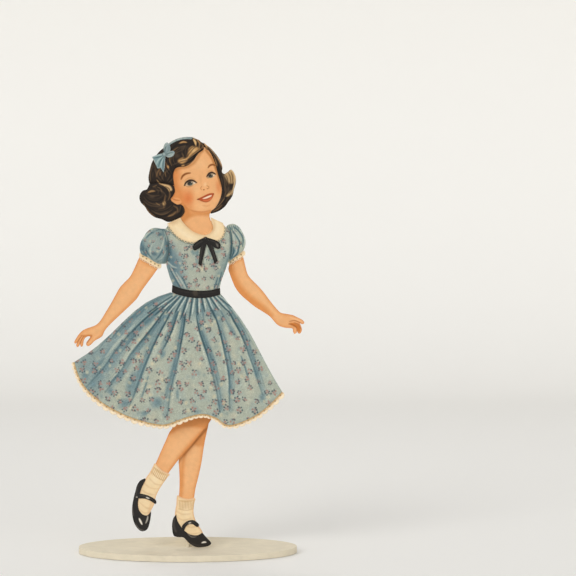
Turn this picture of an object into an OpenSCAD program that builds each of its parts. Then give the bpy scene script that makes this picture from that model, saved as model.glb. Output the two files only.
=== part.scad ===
// Jointed, dressed paper doll on a slotted card stand.
// The doll faces -Y, left and right are the doll's own, and the origin is
// the centre of the underside of the stand's base.
// Flat pieces are drawn on a pixel grid: x to the right, y downwards,
// and a third entry of 1 marks a sharp corner of an otherwise round outline.

/* [Doll] */
// Height of the doll from the sole to the top of the headband
doll_h = 205.5; // [160:0.5:300]

/* [Paper and card] */
// Thickness of the card that the body is cut from
card_t = 0.8; // [0.5:0.05:1.2]
// Thickness of the card that arms and legs are cut from
limb_t = 0.6; // [0.4:0.05:0.9]
// Thickness of the printed paper of clothes, face and hair
paper_t = 0.3; // [0.2:0.02:0.4]
// Gap between layers that turn past each other
layer_gap = 0.2; // [0.15:0.05:0.4]

/* [Brads] */
// Radius of a brad's flat head
brad_head_r = 2.2; // [1.6:0.1:3]
// Thickness of a brad's head
brad_head_t = 0.35; // [0.2:0.05:0.5]
// Radius of a brad's shank
brad_r = 0.75; // [0.5:0.05:1]
// Clearance round the shank in its holes
brad_clearance = 0.05; // [0.02:0.01:0.1]
// Length of the two splayed prongs from tip to tip
prong_span = 9; // [6:0.5:12]
// Width of a prong
prong_w = 1.3; // [0.8:0.1:1.4]
// Thickness of a prong
prong_t = 0.3; // [0.2:0.05:0.4]
// Radius of the card washers behind the body
washer_r = 2.7; // [2.2:0.1:2.8]

/* [Sleeves] */
// Height of the puff in front of the sleeve's own paper
puff_h = 0.95; // [0.5:0.05:1.4]
// How far the top of the puff is drawn in from its outline
puff_inset = 3; // [1.5:0.1:4]
// Thickness of the lace at cuffs and hem
lace_t = 0.2; // [0.15:0.01:0.3]

/* [Skirt] */
// Number of pleats from side to side
pleats = 14; // [8:1:20]
// Depth of a pleat at the hem
pleat_depth = 0.6; // [0.2:0.05:1]
// How far the middle of the hem stands forward of the waist
skirt_swell = 3; // [1:0.1:5]
// How far the lace shows below the hem
lace_drop = 1.6; // [0.8:0.1:2.5]
// How far the lace is lapped behind the hem
lace_lap = 1.2; // [0.5:0.1:2]

/* [Hair] */
// Height of the raised middle of the curls
curl_raise = 0.5; // [0.2:0.05:0.8]
// How far the raised middle is drawn in from the outline
curl_inset = 1.6; // [1:0.1:2.2]

/* [Tabs] */
// Width of a shoulder tab
shoulder_tab_w = 4; // [3:0.1:4.4]
// Length of a shoulder tab's flap behind the card
shoulder_flap = 5; // [3:0.1:5.4]
// Height of a waist tab
waist_tab_h = 3.4; // [2:0.1:3.8]
// Length of a waist tab's flap behind the card
waist_flap = 6; // [4:0.1:6.4]
// Width of the headband's tab
head_tab_w = 4; // [3:0.1:5]
// Length of the headband tab's flap
head_flap = 5; // [3:0.1:8]
// Gap between a tab and the card that it is folded over
tab_gap = 0.1; // [0.05:0.01:0.2]

/* [Stand] */
// Width of the oval base
base_w = 110; // [90:1:140]
// Depth of the oval base
base_d = 60; // [54:1:80]
// Thickness of the base board
base_t = 3; // [2:0.1:5]
// Thickness of the upright fin
fin_t = 1; // [0.8:0.1:1.4]
// Distance from the middle of the base forward to the body card
doll_forward = 8; // [6:0.5:12]
// Clearance of the fin in each slot
slot_clearance = 0.08; // [0.05:0.01:0.15]
// Depth of the fin where it meets the base, from the card backwards
fin_foot_d = 36; // [30:0.5:37]
// Depth of the fin at its top
fin_top_d = 4; // [3:0.1:6]
// Length of each of the two pegs that enter the base
peg_l = 9; // [6:0.5:10]
// How far the pegs lie in from the ends of the fin's foot
peg_inset = 1.5; // [0.5:0.1:2]
// Length of each of the two pegs that enter the body card
hook_l = 8; // [5:0.5:9]
// How far the pegs stop short of the underside
peg_short = 0.3; // [0.2:0.1:0.5]
// Gap between the sole and the base
sole_gap = 0.4; // [0.3:0.05:0.8]

/* [Hidden] */
$fn = 48;
overrun = 1;
skin = "#EFB27A";
hair = "#35261F";
blue_print = "#93B4B4";
lace_white = "#F3DDB4";
ribbon_blue = "#7FA6A8";
black_ribbon = "#211E1C";
plain_card = "#E9E2D2";
brass = "#C9A24B";

// The drawing grid: one pixel's real size and the places that fix the drawing
doll_px_h = 411;
sole_px_y = 548;
middle_px_x = 187;
px = doll_h / doll_px_h;
ground = base_t + sole_gap;
function at(p) = [(p[0] - middle_px_x) * px, ground + (sole_px_y - p[1]) * px];
function high(py) = ground + (sole_px_y - py) * px;
function across(x) = (x - middle_px_x) * px;

// Round outlines through points chosen on the grid, three steps to a stretch
steps = 3;
function turns(p) = len(p) > 2 && p[2] == 1;
function flat2(p) = [p[0], p[1]];
function leave(c, n, o) = turns(c) ? flat2(n) - flat2(c) : (flat2(n) - flat2(o)) / 2;
function arrive(c, n, o) = turns(c) ? flat2(c) - flat2(o) : (flat2(n) - flat2(o)) / 2;
function blend(a, b, ta, tb, t) =
    (2 * t * t * t - 3 * t * t + 1) * a + (t * t * t - 2 * t * t + t) * ta
    + (3 * t * t - 2 * t * t * t) * b + (t * t * t - t * t) * tb;
function round_outline(p) = let (n = len(p)) [
    for (i = [0 : n - 1], k = [0 : steps - 1])
        let (o = p[(i + n - 1) % n], a = p[i], b = p[(i + 1) % n], c = p[(i + 2) % n])
            blend(flat2(a), flat2(b), leave(a, b, o), arrive(b, c, a), k / steps)
];
function placed(p) = [for (q = round_outline(p)) at(q)];
// A point at share u along an open curve through points
function along(p, u) =
    let (n = len(p) - 1, i = min(floor(u * n), n - 1), t = u * n - i,
         a = p[i], b = p[i + 1],
         ta = (b - p[max(i - 1, 0)]) / (i == 0 ? 1 : 2),
         tb = (p[min(i + 2, n)] - a) / (i == n - 1 ? 1 : 2))
    blend(a, b, ta, tb, t);

// Layers, from the front of the doll to the back; the body card starts at 0
head_space = 0.1;
dress_y = -brad_head_t - head_space - paper_t;
over_dress_y = dress_y - paper_t;
belt_y = over_dress_y - paper_t - head_space;
face_y = -paper_t;
hair_y = face_y - paper_t;
flap_y = card_t + tab_gap;
sleeve_y = flap_y + paper_t + layer_gap + puff_h;
cuff_y = sleeve_y + paper_t;
arm_y = cuff_y + lace_t;
right_leg_y = card_t + layer_gap;
right_leg_back = right_leg_y + limb_t;
strap_t = 0.2;
left_strap_y = right_leg_back + layer_gap + prong_t;
left_leg_y = left_strap_y + strap_t + 2 * paper_t;
brad_play = 0.05;
fin_clear_y = left_leg_y + limb_t + brad_play + prong_t + layer_gap;

// Pivots on the drawing grid
right_shoulder_px = [176.5, 245];
left_shoulder_px = [219, 245];
right_hip_px = [185, 342];
left_hip_px = [211, 342];

head_px = [
    [187, 138.2, 1], [193.5, 138.2, 1], [203, 143], [210, 147.5], [215, 153], [220, 160],
    [222.3, 167], [222, 172], [224.5, 174], [228, 172], [231, 169.8], [234, 172.5],
    [235.7, 178], [235.4, 184], [233.4, 190], [232.2, 195.5], [229, 200.8], [226, 205],
    [222, 208.8], [216, 212], [209.6, 213.6, 1], [209.2, 221, 1], [197, 232], [184, 224, 1],
    [183.4, 217, 1], [176, 220.4], [168, 221.6], [161, 219], [154, 216.8], [149.5, 213],
    [146.5, 209], [144, 205.6], [141, 202], [139.8, 198], [140.8, 194], [143.7, 190.8],
    [147.5, 189.3], [149.7, 185], [149, 178], [150, 171], [152.3, 163], [156, 156.5],
    [161, 151], [168, 145.4], [174, 141.8], [181, 139, 1]
];
shoulder_line_px = 225;
waist_side_px = [173.6, 219];
torso_px = [
    [184, 216, 1], [209.2, 216, 1], [212, 225, 1], [223.6, 225, 1], [227.8, 230], [229, 237],
    [229.2, 247], [228, 257], [225.4, 267], [221.6, 277], [219, 284, 1], [219, 293, 1],
    [224, 305], [228, 325], [227, 348], [219, 359], [198, 362], [176, 359],
    [169.5, 348], [168.5, 325], [170.5, 305], [173.6, 293, 1], [173.6, 284, 1],
    [170.8, 277], [168.6, 269], [168, 262], [170, 254], [170, 246], [168.6, 238],
    [167.6, 231], [169.5, 225, 1], [184, 225, 1]
];
face_px = [
    [172.5, 172], [177, 162], [188, 157], [197, 148], [205, 147.5], [211, 154], [215, 163],
    [217.2, 171], [219.2, 178], [221.2, 185], [221.8, 190], [221, 196], [218.8, 202],
    [215, 208], [211, 211.4], [209.6, 214, 1], [209.4, 219], [213, 223], [213.6, 229],
    [210, 235], [203, 237], [194, 234], [186, 228], [180.5, 220], [183.6, 214.5],
    [184.6, 211], [183, 206.5], [180.6, 204.6, 1], [177, 204.6], [173.4, 202.6],
    [170.8, 199.6], [171.5, 194], [173, 186], [172.2, 179]
];
crown_px = [
    [187, 138, 1], [180, 138.8], [173, 141.6], [167, 145.6], [160, 151], [155.3, 156.8],
    [151.8, 163], [149.6, 171], [148.5, 178], [149.4, 183.6, 1], [154, 182.9], [160, 182.3],
    [168, 183.4], [174.2, 185.6, 1], [173.6, 181], [173.1, 175], [174.8, 169.6],
    [178, 167.3], [184, 166.7], [189, 164.7], [193.2, 161], [196, 156.8], [199, 153],
    [202, 151], [203.9, 148.8], [203.6, 145.4], [201.4, 142.4], [198.4, 139.8], [194, 138.2, 1]
];
right_curls_px = [
    [149.6, 184.2, 1], [147, 189.3], [143.3, 190.5], [140.3, 194], [139.5, 198.5], [141.2, 203],
    [144.8, 206.5], [147.2, 210.5], [150.5, 214.3], [155.5, 217.6], [162, 219.3],
    [167.5, 222], [173, 221.3], [178, 219], [182.3, 216], [184.7, 211.5], [183.8, 207.2],
    [181, 204.5], [177.5, 204.7], [173.2, 202.4], [170.6, 199.4], [173, 196], [175, 191.5],
    [174.2, 186.2, 1], [168, 184], [160, 182.9], [154, 183.5]
];
left_curls_px = [
    [203.6, 142.6, 1], [208, 146.2], [212, 149.8], [216, 155.3], [219.7, 160], [222.3, 166],
    [222, 171.5], [223.8, 174.2], [227.5, 172.3], [230.8, 169.6], [233.8, 172.3],
    [235.8, 177.5], [235.8, 183.5], [234, 189.5], [233, 194.5], [231, 198.5],
    [228.5, 201.5], [226, 205.5], [222, 209.2], [217, 212], [211, 213.8, 1], [211.2, 211.4],
    [215.3, 207.8], [218.8, 202.5], [221.2, 196.5], [222, 190], [221.2, 184], [219.2, 178],
    [217.3, 171], [215.8, 163], [213, 155.5], [209, 150.6], [205.8, 149.2]
];
headband_px = [
    [166.8, 145.2, 1], [173, 140.8], [180, 138], [187, 137, 1], [193, 137.2, 1],
    [192, 139.3, 1], [186, 139.6], [180, 140.8], [174, 143.6], [168.6, 147.6, 1]
];
hair_bow_loops_px = [
    [[164.6, 153], [163.6, 148], [165, 144], [167.6, 142.8], [170, 145.5], [170.6, 149.6],
     [169, 153], [166.4, 155]],
    [[165.5, 154.6], [169, 152.4], [172.6, 151], [174.7, 152.3], [174, 155.2], [171.4, 157.2],
     [167.6, 157.4]],
    [[164, 153.6], [158, 154.8], [152.2, 157.2, 1], [154, 161], [156.6, 166], [157.4, 168.4, 1],
     [160.2, 168], [162.6, 162], [165, 156.6]],
    [[163.6, 156], [161.6, 161.5], [160.6, 167.2], [162.2, 170.2], [163.8, 172.8, 1],
     [164.8, 167], [165.2, 161], [165.4, 156.4]]
];
hair_bow_knot_px = [164.6, 154.8];
hair_bow_knot_px_r = 2.3;
bodice_px = [
    [169, 225, 1], [183, 225, 1], [190, 231], [198, 233.5], [207, 232], [212.5, 225, 1],
    [223, 225, 1], [227.4, 229.5], [229.4, 236], [230.2, 246], [229.6, 255], [228, 262],
    [225.5, 270], [222.4, 278], [220.2, 286], [219.6, 293.5, 1], [208, 295], [195, 295],
    [182, 292.5], [173, 290.5, 1], [172.6, 284.5], [170, 278], [168, 271], [166.4, 264],
    [168.4, 258], [169.6, 250], [168.8, 242], [167, 235], [165.4, 229.5]
];
right_collar_px = [
    [168, 223.4, 1], [170, 228.2], [175, 234.2], [180, 238.6], [186, 241.2], [192, 242.6],
    [197.4, 242], [202, 239.6], [205.2, 236.6, 1], [204.6, 235.2, 1], [200, 234.3],
    [193, 231.5], [187, 226.5], [182.5, 221.5], [180.6, 217.8, 1], [176, 219.8], [172, 221.6]
];
left_collar_px = [
    [205.2, 236.6, 1], [209, 239.2], [213, 240.8], [218, 240.3], [222, 237.6], [224.4, 232],
    [224.4, 227], [222.8, 223, 1], [217, 220.4], [210.8, 217.4, 1], [211.6, 222], [213.2, 227],
    [211.8, 231.6], [208.6, 234.2], [204.8, 235.4, 1]
];
neck_bow_px = [
    [[204.5, 238], [199, 240.2], [194.4, 243.6], [192.8, 247.6], [194.4, 250.6], [198, 249.2],
     [202, 246], [206, 241.6]],
    [[207, 238], [213, 239.4], [218.4, 241.6], [220.8, 245.2], [219.4, 249], [215.6, 248.2],
     [211, 245.4], [206.4, 241.6]],
    [[202.4, 241], [200.6, 248], [199.4, 257], [198.4, 264, 1], [201.6, 266.4, 1],
     [203.6, 257], [205.8, 248], [207, 242]],
    [[206, 241], [208.6, 248], [212, 256], [214.6, 264, 1], [217.8, 261, 1], [215, 252],
     [212, 245], [209.4, 240.6]]
];
neck_bow_knot_px = [205.8, 239.6];
neck_bow_knot_px_r = 2.6;
belt_px = [
    [172.4, 285, 1], [180, 288], [190, 290.2], [200, 290.8], [210, 290.3], [220.2, 288, 1],
    [220.6, 294.6, 1], [212, 297], [202, 298.2], [192, 297.8], [182, 295.8], [172, 292.6, 1]
];
waist_px = [
    [170.5, 292.4], [173, 293.2], [176, 294.2], [179.5, 295.2], [184, 296], [188.5, 296.6],
    [193, 297], [197.5, 297.2], [202, 297.2], [206.5, 297], [211, 296.5], [215, 295.8],
    [218.5, 295], [221, 294.2]
];
hem_px = [
    [75, 361.8], [79, 374.6], [87, 388], [103, 402], [125, 414], [147, 421.4],
    [166, 423.8], [186, 417], [203, 413.4], [216.5, 417.2], [229, 424.6], [248, 418.9],
    [265, 408.4], [282.2, 391.6]
];
// The two hem points at which an outer fold of the skirt steps back, and so the lace with it
hem_steps = [2, 12];
right_side_swell_px = [0, -4.7];
left_side_swell_px = [3.8, 0];
right_side_flare_px = [0, -4];
left_side_flare_px = [1.6, 0];

right_arm_px = [
    [139, 257], [134.5, 267], [129.6, 276.5], [124, 282.4], [119, 288], [115, 295],
    [110.6, 303], [105.2, 312], [99.6, 321], [95, 325.4], [88, 328], [82.5, 330.4],
    [78.5, 334], [75.4, 338.6], [73.4, 342.2], [74.4, 344], [76, 342.6, 1], [75.4, 345.6],
    [76.6, 347.5], [78.2, 346.2], [79.2, 343.6, 1], [79.6, 346], [80.9, 347.2], [82.1, 345.4],
    [82.8, 341.4], [84.6, 337.8], [88, 336.6], [89.6, 337.4], [88, 339.6], [85.6, 343],
    [85.8, 345.6], [87.6, 346.4], [90.2, 344.8], [94, 341], [99, 338.2], [101.6, 336],
    [103.6, 331.6], [107, 327], [113, 321], [121, 313.6], [129, 306], [136, 299],
    [141, 291], [146, 284], [152, 276], [157.4, 268.4], [163, 261.6], [171, 254.2],
    [178, 253.4], [183.6, 249.6], [184.8, 244], [182, 238.4], [176.5, 236.6],
    [168, 237.6], [156, 240.6], [146.4, 246.6]
];
left_arm_px = [
    [229.4, 262], [228.2, 269], [230, 275], [233, 283], [236, 289], [240.4, 294.6],
    [247, 300.6], [255, 307], [263, 312], [270, 316.8], [275, 322.6], [279, 326],
    [285, 327.9], [290.6, 328.3], [293, 329.2, 1], [293.2, 332], [294.6, 334.2],
    [296.4, 333.2], [297.2, 331.6, 1], [298.4, 333.6], [300.4, 333.6], [302, 330.6],
    [301.4, 327], [299.8, 323.2, 1], [301.8, 324.2], [303.8, 324], [304.2, 322.2],
    [302, 319.8], [298, 317.8], [293, 315.4], [287, 314.2], [281, 313], [277, 309.5],
    [270, 301], [263, 291.6], [257, 285], [251, 279], [247.4, 274], [245.4, 267],
    [243.2, 257.6], [240.4, 247.6], [234, 240.6], [227, 237.6], [221, 236.6], [215, 239.4],
    [212.6, 245], [214.6, 250.8], [220, 253.6], [225.4, 257]
];
right_puff_px = [
    [167.4, 229.4], [161, 228.6], [155, 227.6], [150, 229], [146, 232.5], [143.6, 236.5],
    [141, 240.6], [139.4, 246], [139.6, 251], [141.4, 254.5], [147, 257.2], [153, 261],
    [157.5, 263.5], [162, 263.8], [166.8, 263], [169.6, 256], [170.6, 246], [169.8, 236]
];
left_puff_px = [
    [226.4, 226.2], [231, 223.8], [235, 224.2], [239, 227], [241.8, 231], [244.2, 236],
    [245.5, 241], [245, 246], [243, 250.6], [239, 254.2], [234, 257.6], [230, 261],
    [227.2, 261.6], [225.8, 254], [225.2, 244], [225.4, 234]
];
sleeve_root_px_r = 8.4;
right_cuff_px = [
    [138.6, 254.6], [140.4, 252.8], [147, 256], [153, 259.8], [158.4, 262.6], [161, 265.2],
    [159.4, 268.4], [152.4, 265.4], [145.4, 261.2], [139.6, 257.8]
];
left_cuff_px = [
    [242, 250.4], [244.8, 251.6], [245, 254.4], [241.6, 257], [236.4, 260], [231.6, 263.2],
    [228.6, 263.6], [228.6, 260], [233.4, 256.4], [238.6, 253]
];
right_leg_px = [
    [174.2, 346], [173.2, 370], [172.6, 400], [173, 425], [169, 433], [165.6, 441],
    [162, 449], [158.5, 457], [155, 465], [150.4, 474], [145.6, 483], [142.4, 492],
    [140, 503], [140.4, 512], [141.6, 520], [144.6, 524], [147.4, 519], [149.8, 511],
    [153.6, 501], [157.4, 491.6], [162.4, 483], [167.4, 475], [171.6, 469], [178, 460.6],
    [185, 452.4], [193, 443], [201, 433], [208, 424.6], [212, 416], [210, 400],
    [204, 376], [199, 356], [196.4, 344], [193.4, 335], [185, 330.8], [176.8, 335]
];
left_leg_px = [
    [200, 340], [199.4, 353], [197, 375], [192, 400], [186.6, 421], [181.6, 440],
    [178.4, 459], [178.8, 470], [179.2, 484], [178.6, 496], [177, 506], [176.4, 518],
    [179.6, 527], [187, 537], [196, 544], [204, 543.6], [205, 539.6], [199.6, 530.6],
    [194.2, 519], [192.6, 508], [193.8, 498], [195.2, 489], [198.2, 477], [201.2, 463],
    [203.6, 447], [206, 435], [208.4, 424], [213, 400], [218, 375], [221.4, 353],
    [221.8, 340], [218.4, 334], [211, 330.8], [203.6, 334]
];
right_sock_px = [
    [153.4, 465.6], [155, 463.6], [158.4, 467.4], [163, 471.4], [169.2, 474.4], [167.6, 477.4],
    [163, 483.8], [158.6, 490.8], [155.6, 497.4], [154.4, 504], [150.6, 511.4],
    [147.2, 517.6], [142, 517.6], [137.8, 511], [137, 503], [138.8, 495], [141.4, 487],
    [145.4, 479], [150.2, 471.8]
];
left_sock_px = [
    [176.8, 496.4], [181.6, 498.6], [188, 499.8], [194.8, 499], [193.8, 505], [193.2, 513],
    [194.8, 520.4], [197.4, 525.6], [202.6, 534], [198, 538.4], [190, 538], [182.6, 533],
    [176.8, 525.6], [174.6, 518], [174.8, 512], [176, 505]
];
right_shoe_px = [
    [145, 478.6, 1], [140.2, 480.8], [137, 485.4], [135.4, 491], [133.8, 497],
    [132.3, 505], [131.9, 512], [133, 520], [136, 527], [140, 531], [144, 531.5],
    [147.6, 529], [149.6, 523], [150.8, 516], [151, 511.4, 1], [147.4, 515.6],
    [142.6, 514.8], [138.8, 510], [137.8, 503.4], [139.4, 495.4], [141.6, 488],
    [145.6, 480, 1]
];
left_shoe_px = [
    [176, 515.4, 1], [173, 519], [171.7, 525], [171.9, 531], [173.4, 536.6], [177.4, 538],
    [183, 538.4], [186.6, 541.8], [190.6, 545.4], [196, 548], [203, 548], [209, 546.6],
    [211, 544], [208.4, 540.6], [205, 537], [202, 533.6, 1], [197.2, 536.2], [190, 535.6],
    [184.6, 532], [180.8, 527.8], [177.6, 522.6], [176.2, 518.4]
];
right_strap_px = [
    [138.2, 494], [144, 494.6], [150, 496.6], [155.8, 500.4], [155.6, 504.4], [150.6, 501.2],
    [144.4, 498.8], [138, 498.4]
];
left_strap_px = [
    [181.6, 527.4], [184.8, 523.4], [189.2, 521.2], [194.4, 521.4], [199, 525.8],
    [196.6, 527.8], [192.4, 525], [188.4, 525.2], [185.4, 527.8], [183.6, 531.2]
];

module plate(outline, y, t) {
    translate([0, y + t, 0]) rotate([90, 0, 0]) linear_extrude(t) polygon(outline);
}
module hole(centre_px, r, y, t) {
    c = at(centre_px);
    translate([c[0], y + t + overrun, c[1]]) rotate([90, 0, 0])
        cylinder(r = r, h = t + 2 * overrun);
}
module drilled_plate(outline, y, t, centre_px) {
    difference() {
        plate(outline, y, t);
        hole(centre_px, brad_r + brad_clearance, y, t);
    }
}
module in_place() { translate([0, -doll_forward, 0]) children(); }

// The oval base, with two slots for the fin's pegs
module slot(y, l) {
    translate([-fin_t / 2 - slot_clearance, y - slot_clearance, -overrun])
        cube([fin_t + 2 * slot_clearance, l + 2 * slot_clearance, base_t + 2 * overrun]);
}
oval_sides = 96;
front_peg_y = fin_clear_y + peg_inset;
back_peg_y = fin_foot_d - peg_inset - peg_l;
module stand_base() {
    color(plain_card) difference() {
        linear_extrude(base_t) polygon([
            for (k = [0 : oval_sides - 1]) let (a = 360 * k / oval_sides)
                [cos(a) * base_w / 2, sin(a) * base_d / 2]
        ]);
        translate([0, -doll_forward, 0]) {
            slot(front_peg_y, peg_l);
            slot(back_peg_y, peg_l);
        }
    }
}
// The upright fin: it hooks into the body card and plugs into the base
hook_px_y = [254, 300];
fin_top_px_y = 246;
fin_step_px_y = 322;
fin_knee_px_y = 420;
fin_knee_share = 0.42;
module fin_side() {
    top = high(fin_top_px_y);
    step = high(fin_step_px_y);
    knee = high(fin_knee_px_y);
    foot = base_t;
    polygon(concat(
        [[card_t, step + layer_gap], [card_t, top], [card_t + fin_top_d, top]],
        [for (k = [1 : 8]) let (t = k / 8)
            (1 - t) * (1 - t) * [card_t + fin_top_d, top]
            + 2 * t * (1 - t) * [fin_knee_share * fin_foot_d, knee]
            + t * t * [fin_foot_d, foot]],
        [[fin_clear_y, foot], [fin_clear_y, step]]
    ));
}
module stand_fin() {
    color(plain_card) in_place() union() {
        translate([-fin_t / 2, 0, 0]) rotate([90, 0, 90]) linear_extrude(fin_t) fin_side();
        for (y = [front_peg_y, back_peg_y])
            translate([-fin_t / 2, y, peg_short]) cube([fin_t, peg_l, base_t - peg_short]);
        for (py = hook_px_y)
            translate([-fin_t / 2, 0, high(py) - hook_l]) cube([fin_t, card_t, hook_l]);
    }
}
// The body: head, neck, trunk and hips in one piece of card
module body_card() {
    color(skin) in_place() difference() {
        union() {
            plate(placed(head_px), 0, card_t);
            plate(placed(torso_px), 0, card_t);
        }
        for (c = [right_shoulder_px, left_shoulder_px, right_hip_px, left_hip_px])
            hole(c, brad_r + brad_clearance, 0, card_t);
        for (py = hook_px_y)
            translate([-fin_t / 2 - slot_clearance, -overrun, high(py) - hook_l - slot_clearance])
                cube([fin_t + 2 * slot_clearance, card_t + 2 * overrun, hook_l + 2 * slot_clearance]);
    }
}
module face() { color(skin) in_place() plate(placed(face_px), face_y, paper_t); }

// Hair: a sheet with a raised middle, as embossed paper has
module raised(outline, y) {
    union() {
        plate(outline, y, paper_t);
        translate([0, y, 0]) rotate([90, 0, 0])
            linear_extrude(curl_raise) offset(delta = -curl_inset) polygon(outline);
    }
}
module hair_crown() { color(hair) in_place() raised(placed(crown_px), hair_y); }
module right_curls() { color(hair) in_place() raised(placed(right_curls_px), hair_y); }
module left_curls() { color(hair) in_place() raised(placed(left_curls_px), hair_y); }

// Headband with the strap that its tab hangs from
head_top_px = [190.2, 138.2];
tab_top_z = tab_gap + paper_t;
module strap_over(centre_px, w, front) {
    c = at(centre_px);
    translate([c[0] - w / 2, front, c[1] + tab_gap]) cube([w, flap_y - front, paper_t]);
}
module flap_behind(centre_px, w, l) {
    c = at(centre_px);
    translate([c[0] - w / 2, flap_y, c[1] + tab_top_z - l]) cube([w, paper_t, l]);
}
headband_y = hair_y - paper_t;
module headband() {
    color(ribbon_blue) in_place() union() {
        plate(placed(headband_px), headband_y, paper_t);
        strap_over(head_top_px, head_tab_w, headband_y + paper_t / 2);
    }
}
module headband_tab() {
    color(ribbon_blue) in_place() flap_behind(head_top_px, head_tab_w, head_flap);
}
// Bows: four cut loops and tails in one layer, and a round knot on them
hair_bow_y = hair_y - curl_raise - paper_t;
module bow(shapes, y) {
    union() { for (p = shapes) plate(placed(p), y, paper_t); }
}
module knot(centre_px, r_px, y) {
    c = at(centre_px);
    translate([c[0], y + paper_t, c[1]]) rotate([90, 0, 0]) cylinder(r = r_px * px, h = paper_t);
}
module hair_bow() { color(ribbon_blue) in_place() bow(hair_bow_loops_px, hair_bow_y); }
module hair_bow_knot() {
    color(ribbon_blue) in_place() knot(hair_bow_knot_px, hair_bow_knot_px_r, hair_bow_y - paper_t);
}
module neck_bow() { color(black_ribbon) in_place() bow(neck_bow_px, over_dress_y - paper_t); }
module neck_bow_knot() {
    color(black_ribbon) in_place()
        knot(neck_bow_knot_px, neck_bow_knot_px_r, over_dress_y - 2 * paper_t);
}

// Bodice: one sheet with two straps over the shoulders and two round the waist
right_tab_px = [177.5, shoulder_line_px];
left_tab_px = [217.5, shoulder_line_px];
waist_tab_px_y = 288.5;
module shoulder_strap(centre_px) {
    c = at(centre_px);
    strap_over(centre_px, shoulder_tab_w, dress_y);
    translate([c[0] - shoulder_tab_w / 2, dress_y, c[1] - shoulder_strap_lap])
        cube([shoulder_tab_w, paper_t, shoulder_strap_lap + tab_top_z]);
}
shoulder_strap_lap = 0.5;
module waist_strap(side) {
    x = across(waist_side_px[side == 1 ? 1 : 0]) + (side == 1 ? tab_gap : -tab_top_z);
    translate([x, dress_y, high(waist_tab_px_y) - waist_tab_h / 2])
        cube([paper_t, flap_y - dress_y, waist_tab_h]);
}
module waist_tab(side) {
    edge = across(waist_side_px[side == 1 ? 1 : 0]) + (side == 1 ? tab_top_z : -tab_top_z);
    translate([side == 1 ? edge - waist_flap : edge, flap_y, high(waist_tab_px_y) - waist_tab_h / 2])
        cube([waist_flap, paper_t, waist_tab_h]);
}
module bodice() {
    color(blue_print) in_place() union() {
        plate(placed(bodice_px), dress_y, paper_t);
        shoulder_strap(right_tab_px);
        shoulder_strap(left_tab_px);
        waist_strap(0);
        waist_strap(1);
    }
}
module right_shoulder_tab() {
    color(blue_print) in_place() flap_behind(right_tab_px, shoulder_tab_w, shoulder_flap);
}
module left_shoulder_tab() {
    color(blue_print) in_place() flap_behind(left_tab_px, shoulder_tab_w, shoulder_flap);
}
module right_waist_tab() { color(blue_print) in_place() waist_tab(0); }
module left_waist_tab() { color(blue_print) in_place() waist_tab(1); }
module right_collar() { color(lace_white) in_place() plate(placed(right_collar_px), over_dress_y, paper_t); }
module left_collar() { color(lace_white) in_place() plate(placed(left_collar_px), over_dress_y, paper_t); }
module belt() { color(black_ribbon) in_place() plate(placed(belt_px), belt_y, paper_t); }

// Skirt: a pleated sheet between the waist and the hem, four columns to a pleat
columns = 4 * pleats;
rows = 8;
fold_shares = [0, 0.75, 1, 0.35];
crisp_share = 0.12;
function side_swell_px(u, v) = (right_side_swell_px * (1 - u) + left_side_swell_px * u) * sin(180 * v)
    + (right_side_flare_px * (1 - u) + left_side_flare_px * u) * sin(360 * v);
function skirt_px(u, v) = along(waist_px, u) * (1 - v) + along(hem_px, u) * v
    + side_swell_px(u, v) * pow(abs(2 * u - 1), 2);
function fold_at(column) = let (i = floor(column), t = column - i)
    fold_shares[i % 4] * (1 - t) + fold_shares[(i + 1) % 4] * t;
function skirt_out(u, v) = skirt_swell * sin(90 * v) * sin(180 * (crisp_share + u * (1 - 2 * crisp_share)))
    + pleat_depth * v * fold_at(u * columns);
function skirt_point(u, v, back) = let (c = at(skirt_px(u, v)))
    [c[0], over_dress_y - skirt_out(u, v) + back, c[1]];
// A sheet through a grid of points, front first and then back
module sheet(front, back, n_columns, n_rows) {
    w = n_columns + 1;
    m = w * (n_rows + 1);
    function cell(j, i) = j * w + i;
    polyhedron(points = concat(front, back), faces = concat(
        [for (j = [0 : n_rows - 1], i = [0 : n_columns - 1], h = [0, 1])
            h == 0 ? [cell(j, i), cell(j, i + 1), cell(j + 1, i + 1)]
                : [cell(j, i), cell(j + 1, i + 1), cell(j + 1, i)]],
        [for (j = [0 : n_rows - 1], i = [0 : n_columns - 1], h = [0, 1])
            h == 0 ? [m + cell(j, i), m + cell(j + 1, i + 1), m + cell(j, i + 1)]
                : [m + cell(j, i), m + cell(j + 1, i), m + cell(j + 1, i + 1)]],
        [for (i = [0 : n_columns - 1], h = [0, 1])
            h == 0 ? [cell(0, i), m + cell(0, i), m + cell(0, i + 1)]
                : [cell(0, i), m + cell(0, i + 1), cell(0, i + 1)]],
        [for (i = [0 : n_columns - 1], h = [0, 1])
            h == 0 ? [cell(n_rows, i), m + cell(n_rows, i + 1), m + cell(n_rows, i)]
                : [cell(n_rows, i), cell(n_rows, i + 1), m + cell(n_rows, i + 1)]],
        [for (j = [0 : n_rows - 1], h = [0, 1])
            h == 0 ? [cell(j, 0), m + cell(j + 1, 0), m + cell(j, 0)]
                : [cell(j, 0), cell(j + 1, 0), m + cell(j + 1, 0)]],
        [for (j = [0 : n_rows - 1], h = [0, 1])
            h == 0 ? [cell(j, n_columns), m + cell(j, n_columns), m + cell(j + 1, n_columns)]
                : [cell(j, n_columns), m + cell(j + 1, n_columns), cell(j + 1, n_columns)]]
    ));
}
module skirt() {
    color(blue_print) in_place() sheet(
        [for (j = [0 : rows], i = [0 : columns]) skirt_point(i / columns, j / rows, 0)],
        [for (j = [0 : rows], i = [0 : columns]) skirt_point(i / columns, j / rows, paper_t)],
        columns, rows);
}
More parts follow.
